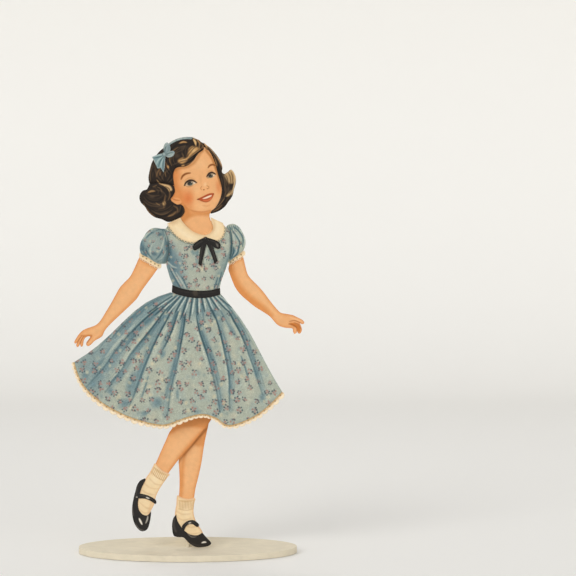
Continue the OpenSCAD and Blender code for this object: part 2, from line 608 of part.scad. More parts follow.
// Hem lace: a scalloped strip lapped behind the hem, four columns to a scallop
lace_columns = 3 * columns;
lace_gap = 0.05;
function outward(u) = let (d = skirt_px(u, 1) - skirt_px(u, 1 - 1 / rows)) d / norm(d);
function lace_point(i, reach, back) =
    let (u = i / lace_columns, c = at(skirt_px(u, 1) + outward(u) * reach / px))
    [c[0], over_dress_y + paper_t + lace_gap - skirt_out(u, 1) + back, c[1]];
function step_column(k) = lace_columns * hem_steps[k] / (len(hem_px) - 1);
function beside_step(i) = let (a = step_column(0) - i, b = i - step_column(1))
    a > 0 && a < 4 ? a / 4 : b > 0 && b < 4 ? b / 4 : 1;
function scallop(i) = lace_drop * (0.6 + 0.4 * abs(sin(45 * i))) * (0.15 + 0.85 * beside_step(i));
module hem_lace() {
    color(lace_white) in_place() sheet(
        concat([for (i = [0 : lace_columns]) lace_point(i, -lace_lap, 0)],
            [for (i = [0 : lace_columns]) lace_point(i, scallop(i), 0)]),
        concat([for (i = [0 : lace_columns]) lace_point(i, -lace_lap, lace_t)],
            [for (i = [0 : lace_columns]) lace_point(i, scallop(i), lace_t)]),
        lace_columns, 1);
}

// Brads: a round head in front, a shank, and two prongs splayed up and down behind
module brad(centre_px, back) {
    c = at(centre_px);
    translate([c[0], 0, c[1]]) union() {
        rotate([90, 0, 0]) cylinder(r = brad_head_r, h = brad_head_t);
        translate([0, back + brad_play + prong_t, 0]) rotate([90, 0, 0])
            cylinder(r = brad_r, h = back + brad_play + prong_t);
        translate([-prong_w / 2, back + brad_play, -prong_span / 2]) cube([prong_w, prong_t, prong_span]);
    }
}
module right_shoulder_brad() { color(brass) in_place() brad(right_shoulder_px, arm_y + limb_t); }
module left_shoulder_brad() { color(brass) in_place() brad(left_shoulder_px, arm_y + limb_t); }
module right_hip_brad() { color(brass) in_place() brad(right_hip_px, right_leg_back); }
module left_hip_brad() { color(brass) in_place() brad(left_hip_px, left_leg_y + limb_t); }
module washer(centre_px, back) {
    c = at(centre_px);
    difference() {
        translate([c[0], back, c[1]]) rotate([90, 0, 0]) cylinder(r = washer_r, h = back - card_t);
        hole(centre_px, brad_r + brad_clearance, card_t, back - card_t);
    }
}
module right_shoulder_washer() {
    color(plain_card) in_place() washer(right_shoulder_px, sleeve_y - layer_gap);
}
module left_shoulder_washer() {
    color(plain_card) in_place() washer(left_shoulder_px, sleeve_y - layer_gap);
}
module left_hip_washer() { color(plain_card) in_place() washer(left_hip_px, left_leg_y - layer_gap); }

// Arms, each with a sleeve whose puff stands forward as a low dome
module right_arm_card() {
    color(skin) in_place() drilled_plate(placed(right_arm_px), arm_y, limb_t, right_shoulder_px);
}
module left_arm_card() {
    color(skin) in_place() drilled_plate(placed(left_arm_px), arm_y, limb_t, left_shoulder_px);
}
function middle(p) = [for (k = [0, 1]) let (v = [for (q = p) q[k]]) (min(v) + max(v)) / 2];
dome_rings = 4;
rim_share = 0.985;
// An outline that runs the other way round where a closed shell needs it
function corner(p, i) = let (q = p[(i + 1) % len(p)]) p[i][0] * q[1] - q[0] * p[i][1];
function area(p) = [for (i = 0, t = 0; i < len(p); t = t + corner(p, i), i = i + 1) t][len(p) - 1];
function turned(p) = area(p) < 0 ? p : [for (i = [len(p) - 1 : -1 : 0]) p[i]];
// Rings that draw in to the middle as they rise, closed by the last one's face
module dome(outline, y) {
    n = len(outline);
    m = middle(outline);
    reach = max([for (q = outline) norm(q - m)]);
    function ring(k) = let (a = 90 * k / dome_rings, inward = puff_inset / reach * (1 - cos(a)))
        [for (q = outline) let (r = m + (q - m) * (rim_share - inward)) [r[0], y - puff_h * sin(a), r[1]]];
    polyhedron(
        points = concat([for (r = ring(0)) [r[0], y + paper_t / 2, r[2]]],
            [for (k = [1 : dome_rings], r = ring(k)) r]),
        faces = concat(
            [for (k = [0 : dome_rings - 1], i = [0 : n - 1], h = [0, 1])
                let (a = k * n + i, b = k * n + (i + 1) % n)
                    h == 0 ? [a, b, b + n] : [a, b + n, a + n]],
            [[for (i = [0 : n - 1]) n - 1 - i]],
            [[for (i = [0 : n - 1]) dome_rings * n + i]]));
}
module sleeve(puff_px, pivot_px) {
    union() {
        translate([0, sleeve_y + paper_t, 0]) rotate([90, 0, 0]) linear_extrude(paper_t) difference() {
            union() {
                polygon(placed(puff_px));
                translate(at(pivot_px)) circle(r = sleeve_root_px_r * px);
            }
            translate(at(pivot_px)) circle(r = brad_r + brad_clearance);
        }
        dome(turned(placed(puff_px)), sleeve_y);
    }
}
module right_sleeve() { color(blue_print) in_place() sleeve(right_puff_px, right_shoulder_px); }
module left_sleeve() { color(blue_print) in_place() sleeve(left_puff_px, left_shoulder_px); }
module right_cuff_lace() { color(lace_white) in_place() plate(placed(right_cuff_px), cuff_y, lace_t); }
module left_cuff_lace() { color(lace_white) in_place() plate(placed(left_cuff_px), cuff_y, lace_t); }

// Legs, each with a sock, a shoe and its strap in front of the card
module right_leg_card() {
    color(skin) in_place() drilled_plate(placed(right_leg_px), right_leg_y, limb_t, right_hip_px);
}
module left_leg_card() {
    color(skin) in_place() drilled_plate(placed(left_leg_px), left_leg_y, limb_t, left_hip_px);
}
module right_sock() {
    color(lace_white) in_place() plate(placed(right_sock_px), right_leg_y - paper_t, paper_t);
}
module left_sock() {
    color(lace_white) in_place() plate(placed(left_sock_px), left_leg_y - paper_t, paper_t);
}
module right_shoe() {
    color(black_ribbon) in_place() plate(placed(right_shoe_px), right_leg_y - 2 * paper_t, paper_t);
}
module left_shoe() {
    color(black_ribbon) in_place() plate(placed(left_shoe_px), left_leg_y - 2 * paper_t, paper_t);
}
module right_shoe_strap() {
    color(black_ribbon) in_place()
        plate(placed(right_strap_px), right_leg_y - 2 * paper_t - strap_t, strap_t);
}
module left_shoe_strap() {
    color(black_ribbon) in_place() plate(placed(left_strap_px), left_strap_y, strap_t);
}

stand_base();
stand_fin();
body_card();
face();
hair_crown();
right_curls();
left_curls();
headband();
hair_bow();
hair_bow_knot();
bodice();
right_collar();
left_collar();
neck_bow();
neck_bow_knot();
belt();
skirt();
hem_lace();
right_shoulder_brad();
left_shoulder_brad();
right_hip_brad();
left_hip_brad();
right_shoulder_washer();
left_shoulder_washer();
left_hip_washer();
right_arm_card();
right_sleeve();
right_cuff_lace();
left_arm_card();
left_sleeve();
left_cuff_lace();
right_leg_card();
right_sock();
right_shoe();
right_shoe_strap();
left_leg_card();
left_sock();
left_shoe();
left_shoe_strap();
right_shoulder_tab();
left_shoulder_tab();
right_waist_tab();
left_waist_tab();
headband_tab();
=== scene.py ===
"""The printed look of a jointed card paper doll, on the frame of its CAD model.

Every printed layer is a cut sheet of its own: a fine mesh inside the outline of the layer's solid,
with the artist's colours laid on its points by strokes, patches and blobs on the drawing's grid.
"""

import math

import bpy
import numpy as np
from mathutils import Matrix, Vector, geometry
from mathutils.bvhtree import BVHTree
from mathutils.kdtree import KDTree


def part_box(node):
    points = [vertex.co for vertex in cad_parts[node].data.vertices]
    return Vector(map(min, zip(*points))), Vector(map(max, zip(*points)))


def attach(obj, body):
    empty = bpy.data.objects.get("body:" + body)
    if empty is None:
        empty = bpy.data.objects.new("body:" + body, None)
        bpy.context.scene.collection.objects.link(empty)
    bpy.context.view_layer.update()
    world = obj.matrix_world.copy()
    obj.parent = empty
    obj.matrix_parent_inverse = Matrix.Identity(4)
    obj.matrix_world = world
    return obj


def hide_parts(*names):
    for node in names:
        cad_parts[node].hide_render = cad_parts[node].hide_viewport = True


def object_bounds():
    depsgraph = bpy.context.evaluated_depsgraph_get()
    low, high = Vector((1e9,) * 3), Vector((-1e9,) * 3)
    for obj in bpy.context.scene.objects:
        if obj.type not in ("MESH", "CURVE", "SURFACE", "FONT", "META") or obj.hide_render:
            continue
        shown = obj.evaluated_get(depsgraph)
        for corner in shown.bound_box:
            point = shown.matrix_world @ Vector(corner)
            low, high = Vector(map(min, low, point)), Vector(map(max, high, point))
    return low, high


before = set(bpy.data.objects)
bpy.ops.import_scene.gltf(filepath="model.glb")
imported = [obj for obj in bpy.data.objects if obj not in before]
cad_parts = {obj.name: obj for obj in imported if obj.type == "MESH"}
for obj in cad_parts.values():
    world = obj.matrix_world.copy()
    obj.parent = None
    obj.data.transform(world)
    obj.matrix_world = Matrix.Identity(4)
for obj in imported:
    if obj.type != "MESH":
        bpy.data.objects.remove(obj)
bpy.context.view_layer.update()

MM = 0.001
PAPER = 0.3 * MM

# The drawing's grid: x to the right, y downwards, from the headband's top to the standing sole
DOLL_PX = 411
MIDDLE_PX = 187
SOLE_PX = 548
sole_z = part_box("left_shoe")[0][2]
PIXEL = (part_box("headband")[1][2] - sole_z) / DOLL_PX


def to_px(x, z):
    return MIDDLE_PX + x / PIXEL, SOLE_PX - (z - sole_z) / PIXEL


def from_px(px, py):
    return (px - MIDDLE_PX) * PIXEL, sole_z + (SOLE_PX - py) * PIXEL


def srgb(colour):
    """A hex colour as its three display values, 0 to 1."""
    return np.array([int(colour[i : i + 2], 16) / 255 for i in (1, 3, 5)])


def linear(values):
    """Display values as linear light."""
    return np.where(values <= 0.04045, values / 12.92, ((values + 0.055) / 1.055) ** 2.4)


def rgba(colour):
    """A hex colour as a colour socket takes it."""
    return (*linear(srgb(colour)), 1)


# Camera and stage

CAMERA_AWAY = 0.8
PHOTO_PX = 576
SENSOR = 36.0


def make_camera():
    """Straight on, with the doll where the photograph has it in its frame."""
    data = bpy.data.cameras.new("camera")
    data.sensor_width = SENSOR
    data.lens = SENSOR * CAMERA_AWAY / (PHOTO_PX * PIXEL)
    camera = bpy.data.objects.new("camera", data)
    bpy.context.scene.collection.objects.link(camera)
    x, z = from_px(PHOTO_PX / 2, PHOTO_PX / 2)
    camera.location = (x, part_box("body_card")[0][1] - CAMERA_AWAY, z)
    camera.rotation_euler = (math.radians(90), 0, 0)
    bpy.context.scene.camera = camera


def soft_sun(name, place, strength, spread):
    """A very wide sun, as soft as a large studio lamp and as strong all over the floor."""
    data = bpy.data.lights.new(name, "SUN")
    data.energy = strength
    data.angle = math.radians(spread)
    lamp = bpy.data.objects.new(name, data)
    lamp.rotation_euler = Vector(place).to_track_quat("Z", "Y").to_euler()
    bpy.context.scene.collection.objects.link(lamp)


# Materials


def add(tree, kind, inputs=None, **settings):
    """A node with its settings, and with links or values on its inputs."""
    made = tree.nodes.new(kind)
    for key, value in settings.items():
        setattr(made, key, value)
    for key, value in (inputs or {}).items():
        if isinstance(value, bpy.types.NodeSocket):
            tree.links.new(value, made.inputs[key])
        else:
            made.inputs[key].default_value = value
    return made


def shader_of(name):
    material = bpy.data.materials.new(name)
    material.use_nodes = True
    tree = material.node_tree
    return material, tree, tree.nodes["Principled BSDF"]


# In all materials a colour mix has its factor and two colours on sockets 0, 6 and 7, its result on 2


def fibre_bump(tree, shader, coordinate, size_mm, depth_mm):
    """Felted fibres as bump; the smallest real ones, 0.02 mm, are drawn coarser so that they show."""
    fibres = add(tree, "ShaderNodeTexNoise", {
        "Vector": coordinate, "Scale": 1 / (size_mm * MM), "Detail": 4.0, "Roughness": 0.65})
    bump = add(tree, "ShaderNodeBump", {
        "Height": fibres.outputs["Fac"], "Strength": 0.5, "Distance": depth_mm * MM})
    tree.links.new(bump.outputs["Normal"], shader.inputs["Normal"])
    return fibres


def printed_paper(name, roughness, coat=0.0, tooth=0.012, mottle=0.1, wear=0.75):
    """Offset-printed paper: matt ink with a light mottle, pale fibres where the cut edge is worn."""
    material, tree, shader = shader_of(name)
    coordinate = add(tree, "ShaderNodeTexCoord").outputs["Object"]
    ink = add(tree, "ShaderNodeAttribute", attribute_name="print")
    rim = add(tree, "ShaderNodeAttribute", attribute_name="rim")
    fibres = fibre_bump(tree, shader, coordinate, 0.35, tooth)
    cloud = add(tree, "ShaderNodeTexNoise", {
        "Vector": coordinate, "Scale": 1 / (2.4 * MM), "Detail": 3.0})
    both = add(tree, "ShaderNodeMath", {
        0: fibres.outputs["Fac"], 1: cloud.outputs["Fac"]}, operation="ADD")
    level = add(tree, "ShaderNodeMapRange", {
        "Value": both.outputs[0], "From Min": 0.6, "From Max": 1.4,
        "To Min": 1 - mottle, "To Max": 1 + mottle * 0.6})
    inked = add(tree, "ShaderNodeVectorMath", {
        0: ink.outputs["Color"], "Scale": level.outputs[0]}, operation="SCALE")
    worn = add(tree, "ShaderNodeMath", {
        0: rim.outputs["Fac"], 1: fibres.outputs["Fac"]}, operation="MULTIPLY")
    paper_shows = add(tree, "ShaderNodeMapRange", {
        "Value": worn.outputs[0], "From Min": 0.42, "From Max": 0.62, "To Max": wear})
    colour = add(tree, "ShaderNodeMix", {
        0: paper_shows.outputs[0], 6: inked.outputs[0], 7: rgba("#EADFC8")}, data_type="RGBA")
    tree.links.new(colour.outputs[2], shader.inputs["Base Color"])
    shader.inputs["Roughness"].default_value = roughness
    shader.inputs["IOR"].default_value = 1.45
    shader.inputs["Specular IOR Level"].default_value = 0.25
    shader.inputs["Coat Weight"].default_value = coat
    shader.inputs["Coat Roughness"].default_value = 0.12
    return material


def greyboard(name, face, fleck, size_mm=0.5):
    """Uncoated board: pale pulp with darker flecks and a soft, fibrous surface."""
    material, tree, shader = shader_of(name)
    coordinate = add(tree, "ShaderNodeTexCoord").outputs["Object"]
    fibre_bump(tree, shader, coordinate, size_mm, 0.03)
    flecks = add(tree, "ShaderNodeTexVoronoi", {
        "Vector": coordinate, "Scale": 1 / (0.9 * MM), "Randomness": 1.0})
    cloud = add(tree, "ShaderNodeTexNoise", {
        "Vector": coordinate, "Scale": 1 / (6 * MM), "Detail": 5.0})
    spots = add(tree, "ShaderNodeMapRange", {
        "Value": flecks.outputs["Distance"], "From Min": 0.05, "From Max": 0.16,
        "To Min": 0.5, "To Max": 0.0})
    amount = add(tree, "ShaderNodeMath", {
        0: spots.outputs[0], 1: cloud.outputs["Fac"]}, operation="MULTIPLY")
    tint = add(tree, "ShaderNodeMix", {
        0: amount.outputs[0], 6: rgba(face), 7: rgba(fleck)}, data_type="RGBA")
    level = add(tree, "ShaderNodeMapRange", {
        "Value": cloud.outputs["Fac"], "From Min": 0.3, "From Max": 0.7, "To Min": 0.93, "To Max": 1.03})
    final = add(tree, "ShaderNodeVectorMath", {
        0: tint.outputs[2], "Scale": level.outputs[0]}, operation="SCALE")
    tree.links.new(final.outputs[0], shader.inputs["Base Color"])
    shader.inputs["Roughness"].default_value = 0.92
    shader.inputs["Specular IOR Level"].default_value = 0.2
    return material


def print_front(material, split_z, upper, lower):
    """Flat ink on a board's front, one colour above a height and another below, so that nothing pale
    shows in the narrow joins between the sheets that lie on it."""
    tree = material.node_tree
    shader = tree.nodes["Principled BSDF"]
    pulp = shader.inputs["Base Color"].links[0].from_socket
    place = add(tree, "ShaderNodeTexCoord").outputs
    height = add(tree, "ShaderNodeSeparateXYZ", {0: place["Object"]}).outputs["Z"]
    facing = add(tree, "ShaderNodeSeparateXYZ", {0: place["Normal"]}).outputs["Y"]
    above = add(tree, "ShaderNodeMath", {0: height, 1: split_z}, operation="GREATER_THAN")
    front = add(tree, "ShaderNodeMath", {0: facing, 1: -0.5}, operation="LESS_THAN")
    ink = add(tree, "ShaderNodeMix", {
        0: above.outputs[0], 6: rgba(lower), 7: rgba(upper)}, data_type="RGBA")
    colour = add(tree, "ShaderNodeMix", {
        0: front.outputs[0], 6: pulp, 7: ink.outputs[2]}, data_type="RGBA")
    tree.links.new(colour.outputs[2], shader.inputs["Base Color"])


def stamped_brass(name):
    """Thin stamped brass, tumbled: warm metal, fine scratches, duller in patches."""
    material, tree, shader = shader_of(name)
    coordinate = add(tree, "ShaderNodeTexCoord").outputs["Object"]
    shader.inputs["Metallic"].default_value = 1.0
    tarnish = add(tree, "ShaderNodeTexNoise", {
        "Vector": coordinate, "Scale": 1 / (1.5 * MM), "Detail": 5.0})
    tint = add(tree, "ShaderNodeMix", {
        0: tarnish.outputs["Fac"], 6: rgba("#D9B45C"), 7: rgba("#A98338")}, data_type="RGBA")
    tree.links.new(tint.outputs[2], shader.inputs["Base Color"])
    rough = add(tree, "ShaderNodeMapRange", {
        "Value": tarnish.outputs["Fac"], "To Min": 0.22, "To Max": 0.45})
    tree.links.new(rough.outputs[0], shader.inputs["Roughness"])
    scratches = add(tree, "ShaderNodeTexNoise", {
        "Vector": coordinate, "Scale": 1 / (0.12 * MM), "Detail": 2.0, "Distortion": 2.0})
    bump = add(tree, "ShaderNodeBump", {
        "Height": scratches.outputs["Fac"], "Strength": 0.2, "Distance": 0.01 * MM})
    tree.links.new(bump.outputs["Normal"], shader.inputs["Normal"])
    return material


def seen_rays(tree):
    """1 for the rays that show a surface to the eye, straight or in a gloss, and 0 for its light."""
    ray = add(tree, "ShaderNodeLightPath").outputs
    seen = add(tree, "ShaderNodeMath", {
        0: ray["Is Camera Ray"], 1: ray["Is Glossy Ray"]}, operation="MAXIMUM")
    all_seen = add(tree, "ShaderNodeMath", {
        0: seen.outputs[0], 1: ray["Is Transmission Ray"]}, operation="MAXIMUM")
    return all_seen.outputs[0]


def plain_backdrop(name, colour, glow):
    """Seamless paper sweep: pale and matt, a little brighter where it is looked at, with soft shadows."""
    material, tree, shader = shader_of(name)
    shader.inputs["Base Color"].default_value = rgba(colour)
    shader.inputs["Roughness"].default_value = 0.9
    shader.inputs["Specular IOR Level"].default_value = 0.1
    shader.inputs["Emission Color"].default_value = rgba(colour)
    strength = add(tree, "ShaderNodeMath", {0: seen_rays(tree), 1: glow}, operation="MULTIPLY")
    tree.links.new(strength.outputs[0], shader.inputs["Emission Strength"])
    return material


def pale_world(light, shown):
    """An even sky that lights at one strength and shows at another, paler one."""
    world = bpy.data.worlds.new("pale sky")
    world.use_nodes = True
    tree = world.node_tree
    sky = tree.nodes["Background"]
    sky.inputs["Color"].default_value = (1, 1, 1, 1)
    strength = add(tree, "ShaderNodeMath", {
        0: seen_rays(tree), 1: shown - light, 2: light}, operation="MULTIPLY_ADD")
    tree.links.new(strength.outputs[0], sky.inputs["Strength"])
    bpy.context.scene.world = world


# Shapes on the drawing's grid

# Larger than any distance on the grid, and smaller than any that counts
FAR, TINY = 1e9, 1e-9
# A brush line is as narrow as it gets at these shares of its length; a low power fills its middle
BRUSH_ENDS, BRUSH_FULLNESS = (0.02, 0.98), 0.6


def smooth(points, closed=False, parts=5):
    """A round curve through points chosen on the grid."""
    p = np.array(points, float)
    n = len(p)
    made = []
    for i in range(n if closed else n - 1):
        if closed:
            o, a, b, c = p[i - 1], p[i], p[(i + 1) % n], p[(i + 2) % n]
        else:
            o, a, b, c = p[max(i - 1, 0)], p[i], p[i + 1], p[min(i + 2, n - 1)]
        t = np.linspace(0, 1, parts, endpoint=False)[:, None]
        made.append(0.5 * (
            2 * a + (b - o) * t + (2 * o - 5 * a + 4 * b - c) * t**2 + (3 * a - o - 3 * b + c) * t**3))
    if not closed:
        made.append(p[-1:])
    return np.concatenate(made)


def inside(x, y, loop):
    """Which points lie inside a closed outline."""
    hit = np.zeros(len(x), bool)
    ax, ay = loop[:, 0], loop[:, 1]
    bx, by = np.roll(ax, -1), np.roll(ay, -1)
    for i in range(len(loop)):
        if ay[i] == by[i]:
            continue
        crosses = (ay[i] > y) != (by[i] > y)
        hit ^= crosses & (x < (bx[i] - ax[i]) * (y - ay[i]) / (by[i] - ay[i]) + ax[i])
    return hit


class Print:
    """The ink on one sheet: a colour at each point, laid on in the grid's pixels."""

    def __init__(self, x, y, distance, base):
        """distance is how far each point lies from the cut outline."""
        self.x = x
        self.y = y
        self.distance = distance
        self.colour = np.tile(srgb(base), (len(x), 1))
        self.relief = np.zeros(len(x))

    def lay(self, which, amount, colour, raise_mm=0.0):
        """Ink on some of the points, by an amount from 0 to 1, and their paper raised with it."""
        amount = np.clip(amount, 0, 1)
        a = amount[:, None]
        self.colour[which] = self.colour[which] * (1 - a) + srgb(colour) * a
        self.relief[which] += amount * raise_mm

    def near(self, low, high, margin):
        return np.nonzero((self.x > low[0] - margin) & (self.x < high[0] + margin)
                          & (self.y > low[1] - margin) & (self.y < high[1] + margin))[0]

    def stroke(self, colour, points, width, opacity=1.0, soft=0.5, taper=0.25, raise_mm=0.0):
        """A brush line through points; taper is the width left at its two ends."""
        curve = smooth(points)
        which = self.near(curve.min(0), curve.max(0), width / 2 + soft)
        if len(which) == 0:
            return
        a, b = curve[:-1], curve[1:]
        d = b - a
        long = np.maximum((d**2).sum(1), TINY)
        best = np.full(len(which), FAR)
        place = np.zeros(len(which))
        p = np.stack([self.x[which], self.y[which]], 1)
        for i in range(len(a)):
            t = np.clip(((p - a[i]) @ d[i]) / long[i], 0, 1)
            away = np.hypot(*(p - a[i] - t[:, None] * d[i]).T)
            closer = away < best
            best[closer] = away[closer]
            place[closer] = (i + t[closer]) / len(a)
        full = np.sin(np.pi * np.clip(place, *BRUSH_ENDS)) ** BRUSH_FULLNESS
        half = width / 2 * (taper + (1 - taper) * full)
        self.lay(which, opacity * np.clip((half + soft / 2 - best) / soft, 0, 1), colour, raise_mm)

    def blob(self, colour, centre, radii, turn=0.0, opacity=1.0, soft=0.6):
        """A soft oval; soft is the share of its radius that fades out."""
        which = self.near(centre, centre, max(radii))
        if len(which) == 0:
            return
        c, s = math.cos(math.radians(turn)), math.sin(math.radians(turn))
        dx, dy = self.x[which] - centre[0], self.y[which] - centre[1]
        r = np.hypot((dx * c + dy * s) / radii[0], (dy * c - dx * s) / radii[1])
        fade = np.clip((1 - r) / soft, 0, 1)
        self.lay(which, opacity * fade * fade * (3 - 2 * fade), colour)

    def patch(self, colour, points, opacity=1.0, soft=0.6):
        """A filled shape with a soft rim."""
        loop = smooth(points, closed=True)
        which = self.near(loop.min(0), loop.max(0), soft)
        if len(which) == 0:
            return
        x, y = self.x[which], self.y[which]
        within = inside(x, y, loop)
        away = np.full(len(which), FAR)
        a, b = loop, np.roll(loop, -1, 0)
        for i in range(len(a)):
            d = b[i] - a[i]
            t = np.clip(((x - a[i, 0]) * d[0] + (y - a[i, 1]) * d[1]) / max(d @ d, TINY), 0, 1)
            away = np.minimum(away, np.hypot(x - a[i, 0] - t * d[0], y - a[i, 1] - t * d[1]))
        signed = np.where(within, away, -away)
        self.lay(which, opacity * np.clip(signed / soft + 0.5, 0, 1), colour)

    def screen(self, depth, seed):
        """The fine, uneven grain of a coarse printing screen."""
        chance = np.random.default_rng(seed)
        self.colour *= 1 + chance.normal(0, depth, (len(self.x), 1))
        self.colour = np.clip(self.colour, 0, 1)

    def border(self, colour, width, opacity=1.0, soft=0.6):
        """Ink along the cut outline."""
        everywhere = np.arange(len(self.x))
        self.lay(everywhere, opacity * np.clip((width - self.distance) / soft, 0, 1), colour)


# Cut sheets

# Points nearer than this are one point, stretches shorter than this are left out of an outline
SAME_POINT, SHORT_STRETCH = 0.002 * MM, 0.0001 * MM
# The share of a front triangle's normal that points forwards, and an area that counts as none
FRONT_SHARE, NO_AREA = 0.1, 1e-15
LEAST_OUTLINE = (0.5 * MM) ** 2
SHARP_FROM = math.radians(50)
# How close the inner points come to the cut edge, as a share of their step
EDGE_CLEARANCE = 0.55
# Every so many points of the fine grid, one is kept for the plain back of a curved sheet
BACK_EVERY = 4
CALM_ROUNDS = 12
# How far in from the cut edge the paper rises to its bulge and its relief, and how far it is worn
BULGE_RISE = 1.6 * MM
RELIEF_RISE = 0.6 * MM
WEAR_REACH = 0.22 * MM


def merged_mesh(node):
    """A node's points and triangles, with its doubled points joined."""
    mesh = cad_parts[node].data
    mesh.calc_loop_triangles()
    points = np.empty(len(mesh.vertices) * 3)
    mesh.vertices.foreach_get("co", points)
    points = points.reshape(-1, 3)
    corners = np.empty(len(mesh.loop_triangles) * 3, np.int64)
    mesh.loop_triangles.foreach_get("vertices", corners)
    key = np.round(points / SAME_POINT).astype(np.int64)
    _, first, merged = np.unique(key, axis=0, return_index=True, return_inverse=True)
    return points[first], merged.ravel()[corners].reshape(-1, 3)


def front_outlines(node):
    """The outlines of a node's front, as closed rows of x and z, anticlockwise, the largest first."""
    points, triangles = merged_mesh(node)
    a, b, c = (points[triangles[:, k]] for k in range(3))
    normal = np.cross(b - a, c - a)
    size = np.linalg.norm(normal, axis=1)
    front = triangles[(size > 0) & (normal[:, 1] < -FRONT_SHARE * np.maximum(size, NO_AREA))]
    edges = {(t[k], t[(k + 1) % 3]) for t in front for k in range(3)}
    after = {}
    for a, b in edges:
        if (b, a) not in edges:
            after.setdefault(a, []).append(b)
    found = []
    while after:
        start = here = next(iter(after))
        loop = []
        while here in after:
            loop.append(here)
            here = after[here].pop() if len(after[here]) > 1 else after.pop(here)[0]
        ring = points[loop][:, [0, 2]]
        turned = np.roll(ring, -1, 0)
        area = 0.5 * np.sum(ring[:, 0] * turned[:, 1] - turned[:, 0] * ring[:, 1])
        if here == start and area > LEAST_OUTLINE:
            found.append((area, ring))
    return [ring for _, ring in sorted(found, key=lambda pair: -pair[0])]


def divided(ring, step):
    """The same outline with no stretch longer than step."""
    made = []
    for a, b in zip(ring, np.roll(ring, -1, 0)):
        long = np.linalg.norm(b - a)
        if long >= SHORT_STRETCH:
            parts = math.ceil(long / step)
            made += [a + (b - a) * k / parts for k in range(parts)]
    return np.array(made)


def triangulated(points, ring_size):
    """Triangles inside the outline that the first ring_size points make, anticlockwise: from the one
    on the outline's first edge, over every edge that isn't the outline's own."""
    size = points.max() - points.min()
    outline = [(i, (i + 1) % ring_size) for i in range(ring_size)]
    # 0 keeps every triangle, 1e-7 is how near two points may be, True asks where each came from
    out = geometry.delaunay_2d_cdt([Vector(p / size) for p in points], outline, [], 0, 1e-7, True)
    home = np.array([origin[0] if origin else -1 for origin in out[3]])
    faces = home[np.array([f for f in out[2] if len(f) == 3])].tolist()
    beside = {edge: f for f in map(tuple, faces) for edge in (f[:2], f[1:], (f[2], f[0]))}
    walls = set(outline)
    within = [beside[outline[0]]]
    reached = set(within)
    for a, b, c in within:
        for edge in {(a, b), (b, c), (c, a)} - walls:
            other = beside.get(edge[::-1])
            if other and other not in reached:
                reached.add(other)
                within.append(other)
    return [list(f) for f in within]


def put_mesh(name, points, faces, material):
    mesh = bpy.data.meshes.new(name)
    mesh.from_pydata([tuple(p) for p in points], [], faces)
    mesh.polygons.foreach_set("use_smooth", [True] * len(mesh.polygons))
    mesh.set_sharp_from_angle(angle=SHARP_FROM)
    mesh.materials.append(material)
    piece = bpy.data.objects.new(name, mesh)
    bpy.context.scene.collection.objects.link(piece)
    return piece


def hex_grid(ring, step):
    """Points in a triangle pattern inside an outline, with a sparse choice of them marked."""
    gx, gz = np.meshgrid(
        np.arange(ring[:, 0].min(), ring[:, 0].max(), step),
        np.arange(ring[:, 1].min(), ring[:, 1].max(), step * math.sqrt(3) / 2),
    )
    gx = gx + (np.arange(len(gx)) % 2)[:, None] * step / 2
    sparse = (np.arange(len(gx)) % BACK_EVERY == 0)[:, None] & (np.arange(gx.shape[1]) % BACK_EVERY == 0)
    keep = inside(gx.ravel(), gz.ravel(), ring)
    return np.stack([gx.ravel(), gz.ravel()], 1)[keep], sparse.ravel()[keep]


def front_depth(node, flat):
    """How deep a solid's front lies behind each flat point."""
    points, triangles = merged_mesh(node)
    solid = BVHTree.FromPolygons([tuple(p) for p in points], [tuple(t) for t in triangles])
    front = points[:, 1].min() - MM
    depth = np.empty(len(flat))
    for i, (x, z) in enumerate(flat):
        hit = solid.ray_cast((x, front, z), (0, 1, 0))[0]
        depth[i] = hit[1] if hit is not None else np.nan
    for i in np.nonzero(np.isnan(depth))[0]:
        depth[i] = solid.find_nearest((flat[i, 0], np.nanmean(depth), flat[i, 1]))[0][1]
    return depth


def carried_depth(node, flat, faces):
    """A curved solid's front depth at each flat point, calmed over its neighbours."""
    depth = front_depth(node, flat)
    pairs = np.array([(f[k], f[(k + 1) % 3]) for f in faces for k in range(3)])
    count = np.bincount(pairs[:, 0], minlength=len(flat))
    for _ in range(CALM_ROUNDS):
        total = np.bincount(pairs[:, 0], depth[pairs[:, 1]], len(flat))
        depth = np.where(count > 0, 0.5 * depth + 0.5 * total / np.maximum(count, 1), depth)
    return depth


